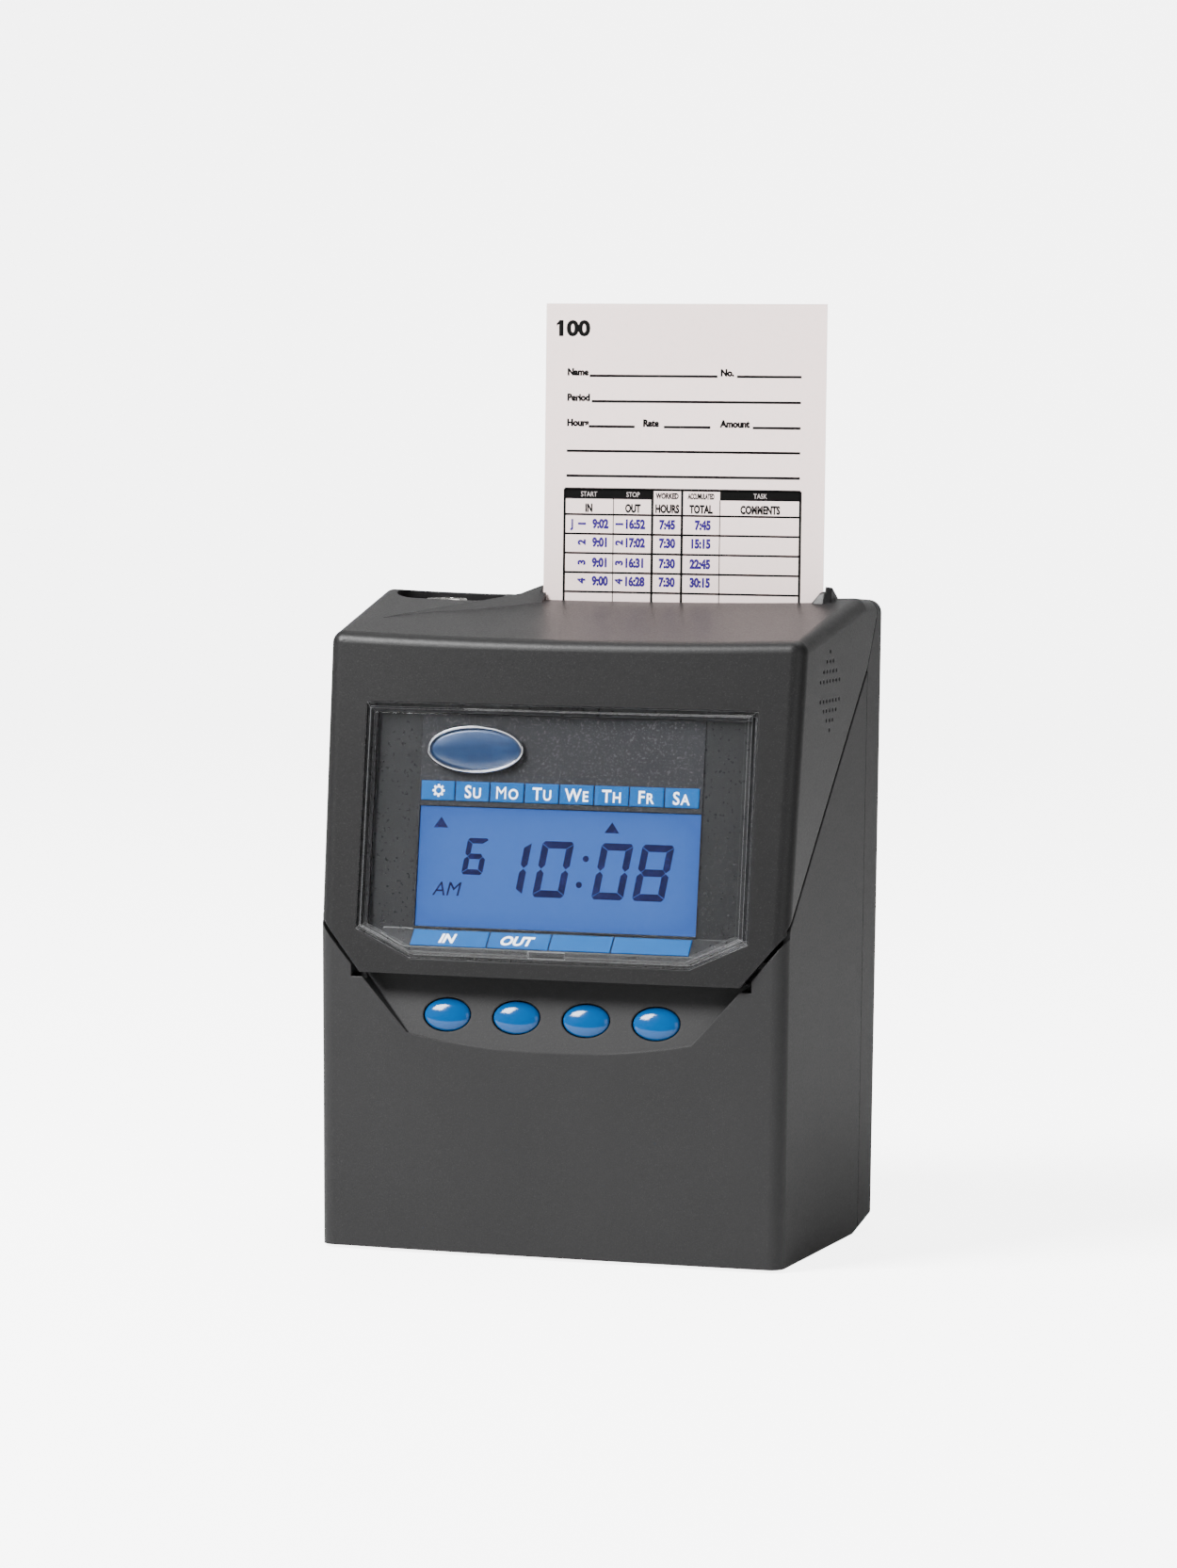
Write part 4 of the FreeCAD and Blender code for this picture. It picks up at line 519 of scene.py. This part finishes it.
# the two blue strips
def dayNames():
    look = {"names": ["SU", "MO", "TU", "WE", "TH", "FR", "SA"], "first": 0.0044, "second": 0.0036,
            "gap": 0.0004, "bold": 0.00010, "squeeze": 0.90,
            "wheel": 0.00160, "line": 0.00055, "ringPoints": 32,
            "teeth": 8, "tooth": 0.0006, "toothFoot": 0.0001, "toothTurn": 0.3}
    plane = frontPlane("day_strip")
    cell = (plane["right"] - plane["left"]) / (len(look["names"]) + 1)
    base = (plane["low"] + plane["high"]) / 2 - look["first"] / 2
    mesh = bmesh.new()
    for k, day in enumerate(look["names"]):
        middle, before = plane["left"] + cell * (k + 1.5), len(mesh.verts)
        firstBold = 0.0 if day[0] == "M" else look["bold"]   # a heavier M closes up
        addText(mesh, plane, day[0], middle - look["gap"] / 2, base, look["first"], firstBold,
                squeeze=look["squeeze"], align="RIGHT")
        addText(mesh, plane, day[1], middle + look["gap"] / 2, base, look["second"], look["bold"],
                squeeze=look["squeeze"], align="LEFT")
        pair = list(mesh.verts)[before:]
        shift = middle - (min(p.co.x for p in pair) + max(p.co.x for p in pair)) / 2
        for corner in pair:
            corner.co.x += shift
    hubX, hubV = plane["left"] + cell / 2, base + look["first"] / 2

    def polar(points):
        return [(hubX + r * math.cos(t), hubV + r * math.sin(t)) for r, t in points]

    outer, inner = look["wheel"], look["wheel"] - look["line"]
    for k in range(look["ringPoints"]):
        a, b = (2 * math.pi * step / look["ringPoints"] for step in (k, k + 1))
        addSlab(mesh, plane, polar([(inner, a), (outer, a), (outer, b), (inner, b)]))
    foot, reach, wide = outer - look["toothFoot"], outer + look["tooth"], look["toothTurn"]
    for k in range(look["teeth"]):
        middle = 2 * math.pi * k / look["teeth"]
        addSlab(mesh, plane, polar([(foot, middle - wide), (reach, middle - wide / 2),
                                    (reach, middle + wide / 2), (foot, middle + wide)]))
    makePiece("day_names", mesh, "whiteInk", "cover")


def keyNames():
    look = {"names": ["IN", "OUT"], "height": 0.0039, "bold": 0.0002, "slant": 0.2}
    plane = frontPlane("function_strip")
    mesh = bmesh.new()
    base = (plane["low"] + plane["high"]) / 2 - look["height"] / 2
    for k, word in enumerate(look["names"]):
        x = sum(p.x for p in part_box("button_%d" % (k + 1))) / 2   # over its button
        addText(mesh, plane, word, x, base, look["height"], look["bold"], look["slant"])
    makePiece("key_names", mesh, "whiteInk", "cover")


# the lit digits
segmentsOf = {"0": "abcdef", "1": "bc", "6": "acdefg", "8": "abcdefg"}


def segmentOutline(segment, wide, high, thick, gap):
    # mitred bars of a seven segment digit, before it leans
    mid, half, nip = high / 2, thick / 2, gap / 2
    corner = thick * 0.34   # the cut at the digit's outer corners
    outlines = {
        "a": [(nip, high - corner), (corner + nip, high), (wide - corner - nip, high),
              (wide - nip, high - corner), (wide - thick - nip, high - thick), (thick + nip, high - thick)],
        "d": [(nip, corner), (thick + nip, thick), (wide - thick - nip, thick), (wide - nip, corner),
              (wide - corner - nip, 0), (corner + nip, 0)],
        "b": [(wide, high - corner - nip), (wide - thick, high - thick - nip),
              (wide - thick, mid + half + nip), (wide - half, mid + nip), (wide, mid + half)],
        "c": [(wide, corner + nip), (wide, mid - half), (wide - half, mid - nip),
              (wide - thick, mid - half - nip), (wide - thick, thick + nip)],
        "e": [(0, corner + nip), (thick, thick + nip), (thick, mid - half - nip), (half, mid - nip),
              (0, mid - half)],
        "f": [(0, high - corner - nip), (0, mid + half), (half, mid + nip), (thick, mid + half + nip),
              (thick, high - thick - nip)],
        "g": [(half + nip, mid), (thick, mid + half), (wide - thick, mid + half), (wide - half - nip, mid),
              (wide - thick, mid - half), (thick, mid - half)],
    }
    return outlines[segment]


def litDigits():
    # sizes are (width, height, bar); places run from the middle of the case, drops from the pane's top
    look = {"lean": math.tan(math.radians(9.0)), "big": (0.0112, 0.0192, 0.00245), "topGap": 0.0106,
            "bigPlaces": [(-0.0235, "1"), (-0.0085, "0"), (0.0125, "0"), (0.0269, "8")],
            "small": (0.0075, 0.0126, 0.0019), "smallPlace": (-0.0342, "6"), "smallTop": 0.0104,
            "dots": [(0.0100, 0.0162), (0.0080, 0.0251)], "dotRadius": 0.00108, "slit": 0.00022,
            "mark": {"halfBase": 0.0026, "apex": 0.0035, "base": 0.0072},
            "cells": 8, "markCells": [(0, 0.0012), (5, 0.0005)],
            "halfDay": {"words": "AM", "x": -0.0393, "drop": 0.0304, "height": 0.0050, "slant": 0.22}}
    plane = frontPlane("lcd_glass")
    top = plane["high"]
    mesh = bmesh.new()

    def addDigit(shape, x, v, size):
        wide, high, thick = size
        for segment in segmentsOf[shape]:
            outline = segmentOutline(segment, wide, high, thick, look["slit"])
            addSlab(mesh, plane, [(x + px + pv * look["lean"], v + pv) for px, pv in outline])

    for x, shape in look["bigPlaces"]:
        addDigit(shape, x, top - look["topGap"] - look["big"][1], look["big"])
    x, shape = look["smallPlace"]
    addDigit(shape, x, top - look["smallTop"] - look["small"][1], look["small"])
    for x, drop in look["dots"]:
        addDisc(mesh, plane, x, top - drop, look["dotRadius"])
    stripLow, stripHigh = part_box("day_strip")
    dayCell = (stripHigh.x - stripLow.x) / look["cells"]
    mark, word = look["mark"], look["halfDay"]
    for cell, nudge in look["markCells"]:
        x = stripLow.x + dayCell * (cell + 0.5) + nudge
        addSlab(mesh, plane, [(x - mark["halfBase"], top - mark["base"]),
                              (x + mark["halfBase"], top - mark["base"]), (x, top - mark["apex"])])
    addText(mesh, plane, word["words"], word["x"], top - word["drop"], word["height"], slant=word["slant"])
    makePiece("lit_digits", mesh, "digitInk", "cover")


# the printed card: distances are from its left edge and down from its top edge
cardPrint = {"line": 0.00085, "thin": 0.0003, "rowLine": 0.00068, "label": 0.0024, "bold": 0.0002,
             "number": {"words": "100", "x": 0.0034, "down": 0.0111, "height": 0.0053, "squeeze": 1.16,
                        "bold": 0.00034},
             "upstroke": [(0.0050, 0.0071), (0.0050, 0.0058), (0.0038, 0.0069), (0.0038, 0.0078)],
             "fields": [("Name", 0.0080, 0.0250, 0.0161, 0.0626), ("No.", 0.0637, 0.0250, 0.0696, 0.0928),
                        ("Period", 0.0080, 0.0339, 0.0170, 0.0927), ("Hours", 0.0080, 0.0427, 0.0160, 0.0328),
                        ("Rate", 0.0358, 0.0427, 0.0434, 0.0603), ("Amount", 0.0639, 0.0427, 0.0755, 0.0927)],
             "belowWords": 0.0002, "left": 0.0080, "right": 0.0927, "emptyLines": (0.0515, 0.0602),
             "table": (0.0075, 0.0930), "tableTop": 0.0648, "barLow": 0.0682, "headLow": 0.0737, "foot": 0.006,
             "row": 0.00678, "columns": [(0.0254, False), (0.0396, True), (0.0504, True), (0.0641, False)],
             "heads": [(0.0164, "START", "IN"), (0.0325, "STOP", "OUT"), (0.0450, "WORKED", "HOURS"),
                       (0.0573, "ACCUMULATED", "TOTAL"), (0.0786, "TASK", "COMMENTS")],
             "reversed": {"names": ("START", "STOP", "TASK"), "down": 0.0674, "height": 0.0018,
                          "squeeze": 0.828, "lift": 0.00003},
             "upper": {"down": 0.0678, "height": 0.0019, "squeeze": 0.72, "longSqueeze": 0.50, "bold": 0.00014},
             "lower": {"down": 0.0727, "height": 0.0028, "squeeze": 0.68}}


def cardForm(look):
    plane = frontPlane("time_card")
    left, top = plane["left"], plane["high"]
    black, white = bmesh.new(), bmesh.new()

    def rule(x0, x1, down, thick):
        addBar(black, plane, left + x0, left + x1, top - down - thick / 2, top - down + thick / 2)

    def upright(x, down0, down1, thick):
        addBar(black, plane, left + x - thick / 2, left + x + thick / 2, top - down1, top - down0)

    def label(words, x, down, height=look["label"], align="LEFT", squeeze=0.95, bold=look["bold"]):
        addText(black, plane, words, left + x, top - down, height, bold, squeeze=squeeze, align=align)

    label(align="LEFT", **look["number"])
    addSlab(black, plane, [(left + x, top - down) for x, down in look["upstroke"]])
    for words, x, down, x0, x1 in look["fields"]:
        label(words, x, down)
        rule(x0, x1, down + look["belowWords"], look["line"])
    for down in look["emptyLines"]:
        rule(look["left"], look["right"], down, look["line"])
    x0, x1 = look["table"]
    rows = int((plane["high"] - plane["low"] - look["foot"] - look["headLow"]) / look["row"])
    bottom = look["headLow"] + rows * look["row"]
    rule(x0, x1, look["tableTop"], look["line"])
    for x, heavy in look["columns"]:
        start, thick = (look["tableTop"], look["line"]) if heavy else (look["barLow"], look["thin"])
        upright(x, start, bottom, thick)
    for x in (x0, x1):
        upright(x, look["tableTop"], bottom, look["line"])
    for k in range(rows + 1):
        rule(x0, x1, look["headLow"] + k * look["row"], look["rowLine"])
    for barX0, barX1 in ((x0, look["columns"][1][0]), (look["columns"][3][0], x1)):
        addBar(black, plane, left + barX0, left + barX1, top - look["barLow"], top - look["tableTop"])
    light, upper, lower = look["reversed"], look["upper"], look["lower"]
    for x, first, second in look["heads"]:
        if first in light["names"]:
            addText(white, plane, first, left + x, top - light["down"], light["height"],
                    squeeze=light["squeeze"])
        else:
            tight = upper["longSqueeze"] if first == "ACCUMULATED" else upper["squeeze"]
            label(first, x, upper["down"], upper["height"], "CENTER", tight, upper["bold"])
        label(second, x, lower["down"], lower["height"], "CENTER", lower["squeeze"])
    for vertex in white.verts:
        vertex.co = vertex.co + plane["out"] * light["lift"]
    makePiece("card_form", black, "blackInk", "card")
    makePiece("card_reversed_words", white, "cardWhite", "card")


def cardStamps(look):
    stamp = {"times": [("1", "9:02", "16:52", "7:45", "7:45"), ("2", "9:01", "17:02", "7:30", "15:15"),
                       ("3", "9:01", "16:31", "7:30", "22:45"), ("4", "9:00", "16:28", "7:30", "30:15")],
             "ends": (0.0236, 0.0370, 0.0480, 0.0609), "height": 0.0031, "bold": 0.00026, "squeeze": 0.79,
             "up": 0.0021, "stagger": 0.0003, "days": (0.0152, 0.0289), "dayUp": 0.0014, "dayHeight": 0.0027,
             "dayBold": 0.0002, "period": ("J", 0.0104, 0.0022, 0.0029, 0.8)}
    plane = frontPlane("time_card")
    left, top = plane["left"], plane["high"]
    mesh = bmesh.new()
    for k, (day, *words) in enumerate(stamp["times"]):
        base = top - look["headLow"] - (k + 1) * look["row"] + stamp["up"] + stamp["stagger"] * (k % 2)
        for x, word in zip(stamp["ends"], words):
            addText(mesh, plane, word, left + x, base, stamp["height"], stamp["bold"],
                    squeeze=stamp["squeeze"], align="RIGHT")
        for x in stamp["days"]:
            addText(mesh, plane, day, left + x, base + stamp["dayUp"], stamp["dayHeight"], stamp["dayBold"],
                    turn=math.radians(90))
    letter, x, up, height, squeeze = stamp["period"]
    addText(mesh, plane, letter, left + x, top - look["headLow"] - look["row"] + up, height, stamp["dayBold"],
            squeeze=squeeze)
    makePiece("card_stamps", mesh, "purpleInk", "card")


dayNames()
keyNames()
litDigits()
cardForm(cardPrint)
cardStamps(cardPrint)
print("stage: printing")


# the oval badge: a rounded bright ring around a domed bare field
def ovalBadge():
    look = {"slices": 96, "ringSteps": 8, "ringRise": 0.0011, "ringWide": 0.0013, "ringSkirt": 0.0010,
            "domeSteps": 6, "domeRise": 0.0007, "domeSkirt": 0.0009, "domeReach": 0.98, "gap": 0.00004}
    plane = frontPlane("badge_rim")
    middleX, middleV = (plane["left"] + plane["right"]) / 2, (plane["low"] + plane["high"]) / 2
    halfX, halfV = (plane["right"] - plane["left"]) / 2, (plane["high"] - plane["low"]) / 2

    def ovalRing(mesh, inwards, lift):
        turns = [2 * math.pi * k / look["slices"] for k in range(look["slices"])]
        return [mesh.verts.new(onPlane(plane, middleX + (halfX - inwards) * math.cos(t),
                                       middleV + (halfV - inwards) * math.sin(t), lift)) for t in turns]

    def bridge(mesh, rings):
        for first, second in zip(rings, rings[1:]):
            for k in range(look["slices"]):
                nextK = (k + 1) % look["slices"]
                mesh.faces.new((first[k], first[nextK], second[nextK], second[k]))

    ring = bmesh.new()
    wide = look["ringWide"]
    arc = [math.pi * k / look["ringSteps"] for k in range(look["ringSteps"] + 1)]
    profile = [(wide / 2 - wide / 2 * math.cos(a), look["ringRise"] * math.sin(a)) for a in arc]
    profile = [(0.0, -look["ringSkirt"])] + profile + [(wide, -look["ringSkirt"])]
    rings = [ovalRing(ring, inwards, lift) for inwards, lift in profile]
    bridge(ring, rings + rings[:1])
    rimPiece = makePiece("badge_ring", ring, "chrome", "cover")
    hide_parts("badge_rim")

    field = bmesh.new()
    rings = [ovalRing(field, wide + look["gap"], -look["domeSkirt"])]
    reach = halfV - wide
    for k in range(look["domeSteps"] + 1):
        share = k / (look["domeSteps"] + 1)
        rings.append(ovalRing(field, wide + look["gap"] + reach * share * look["domeReach"],
                              look["domeRise"] * (1 - (1 - share) ** 2)))
    bridge(field, rings)
    field.faces.new(rings[0])
    field.faces.new(list(reversed(rings[-1])))
    fieldPiece = makePiece("badge_field", field, "enamel", "cover")
    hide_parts("badge_face")
    for piece in (rimPiece, fieldPiece):
        for polygon in piece.data.polygons:
            polygon.use_smooth = True


ovalBadge()
print("stage: badge")


# floor, light and camera
def studio():
    look = {"floorHalf": 6.0, "back": 2.4, "bend": 1.2, "steps": 10, "wallTop": 5.0, "below": 0.00005,
            "glow": 5.0, "first": paint(0.93, 0.93, 0.93), "second": paint(0.95, 0.95, 0.95)}
    floor = bmesh.new()
    run = [(-look["floorHalf"], 0.0), (look["back"], 0.0)]
    for k in range(1, look["steps"] + 1):
        a = math.pi / 2 * k / look["steps"]
        run.append((look["back"] + look["bend"] * math.sin(a), look["bend"] * (1 - math.cos(a))))
    run.append((look["back"] + look["bend"], look["wallTop"]))
    lines = [[floor.verts.new((side * look["floorHalf"], y, z - look["below"])) for y, z in run]
             for side in (-1, 1)]
    for k in range(len(run) - 1):
        face = floor.faces.new((lines[0][k], lines[1][k], lines[1][k + 1], lines[0][k + 1]))
        face.smooth = True
    data = bpy.data.meshes.new("floor")
    floor.to_mesh(data)
    floor.free()
    sweep = bpy.data.objects.new("floor", data)
    bpy.context.scene.collection.objects.link(sweep)
    material, tree, shader = newMaterial("paleFloor", 0.9, specular=0.1)
    tone = addNode(tree, "ShaderNodeTexNoise", {"Scale": 3.0, "Detail": 2.0})
    wire(tree, mixColours(tree, tone.outputs["Fac"], look["first"], look["second"]),
         shader.inputs["Base Color"])
    # the backdrop looks blown out to the lens, as under a light of its own
    glow = addNode(tree, "ShaderNodeEmission", {"Color": paint(1, 1, 1), "Strength": look["glow"]})
    nothing = addNode(tree, "ShaderNodeEmission", {"Strength": 0.0})
    seen = addNode(tree, "ShaderNodeMixShader")
    wire(tree, addNode(tree, "ShaderNodeLightPath").outputs["Is Camera Ray"], seen.inputs[0])
    wire(tree, nothing.outputs[0], seen.inputs[1])
    wire(tree, glow.outputs[0], seen.inputs[2])
    total = addNode(tree, "ShaderNodeAddShader")
    wire(tree, shader.outputs[0], total.inputs[0])
    wire(tree, seen.outputs[0], total.inputs[1])
    wire(tree, total.outputs[0], tree.nodes["Material Output"].inputs["Surface"])
    data.materials.append(material)


def softLamp(name, place, target, size, power):
    lamp = bpy.data.lights.new(name, "AREA")
    lamp.shape = "RECTANGLE"
    lamp.size, lamp.size_y = size
    lamp.energy = power
    holder = bpy.data.objects.new(name, lamp)
    holder.location = place
    holder.rotation_euler = (Vector(target) - Vector(place)).to_track_quat("-Z", "Y").to_euler()
    bpy.context.scene.collection.objects.link(holder)


def lights():
    look = {"target": (0, 0, 0.14), "world": 0.16,
            "lamps": [("keyLamp", (-1.3, -1.3, 1.9), (1.0, 1.0), 200),
                      ("fillLamp", (1.5, -1.1, 0.7), (1.2, 1.0), 7),
                      ("topLamp", (0.1, 0.5, 1.6), (1.2, 0.8), 11)]}
    for name, place, size, power in look["lamps"]:
        softLamp(name, place, look["target"], size, power)
    world = bpy.data.worlds.new("studioWorld")
    world.use_nodes = True
    setSockets(world.node_tree.nodes["Background"], {"Color": paint(1.0, 1.0, 1.0), "Strength": look["world"]})
    bpy.context.scene.world = world


def camera():
    look = {"place": (0.50485, -1.66107, 0.30259), "yaw": 16.961, "down": 4.742, "roll": -0.368,
            "lens": 115.30, "sensor": 36.0, "nearest": 0.05}
    lens = bpy.data.cameras.new("camera")
    lens.lens = look["lens"]
    lens.sensor_fit = "VERTICAL"
    lens.sensor_width = lens.sensor_height = look["sensor"]
    lens.clip_start = look["nearest"]
    holder = bpy.data.objects.new("camera", lens)
    yaw, down, roll = (math.radians(look[key]) for key in ("yaw", "down", "roll"))
    sight = Vector((-math.sin(yaw) * math.cos(down), math.cos(yaw) * math.cos(down), -math.sin(down)))
    right = Vector((math.cos(yaw), math.sin(yaw), 0))
    below = sight.cross(right)
    tiltedRight = right * math.cos(roll) + below * math.sin(roll)
    tiltedBelow = below * math.cos(roll) - right * math.sin(roll)
    turn = Matrix((tiltedRight, -tiltedBelow, -sight)).transposed().to_4x4()
    holder.matrix_world = Matrix.Translation(Vector(look["place"])) @ turn
    bpy.context.scene.collection.objects.link(holder)
    bpy.context.scene.camera = holder


studio()
lights()
camera()
print("stage: studio")
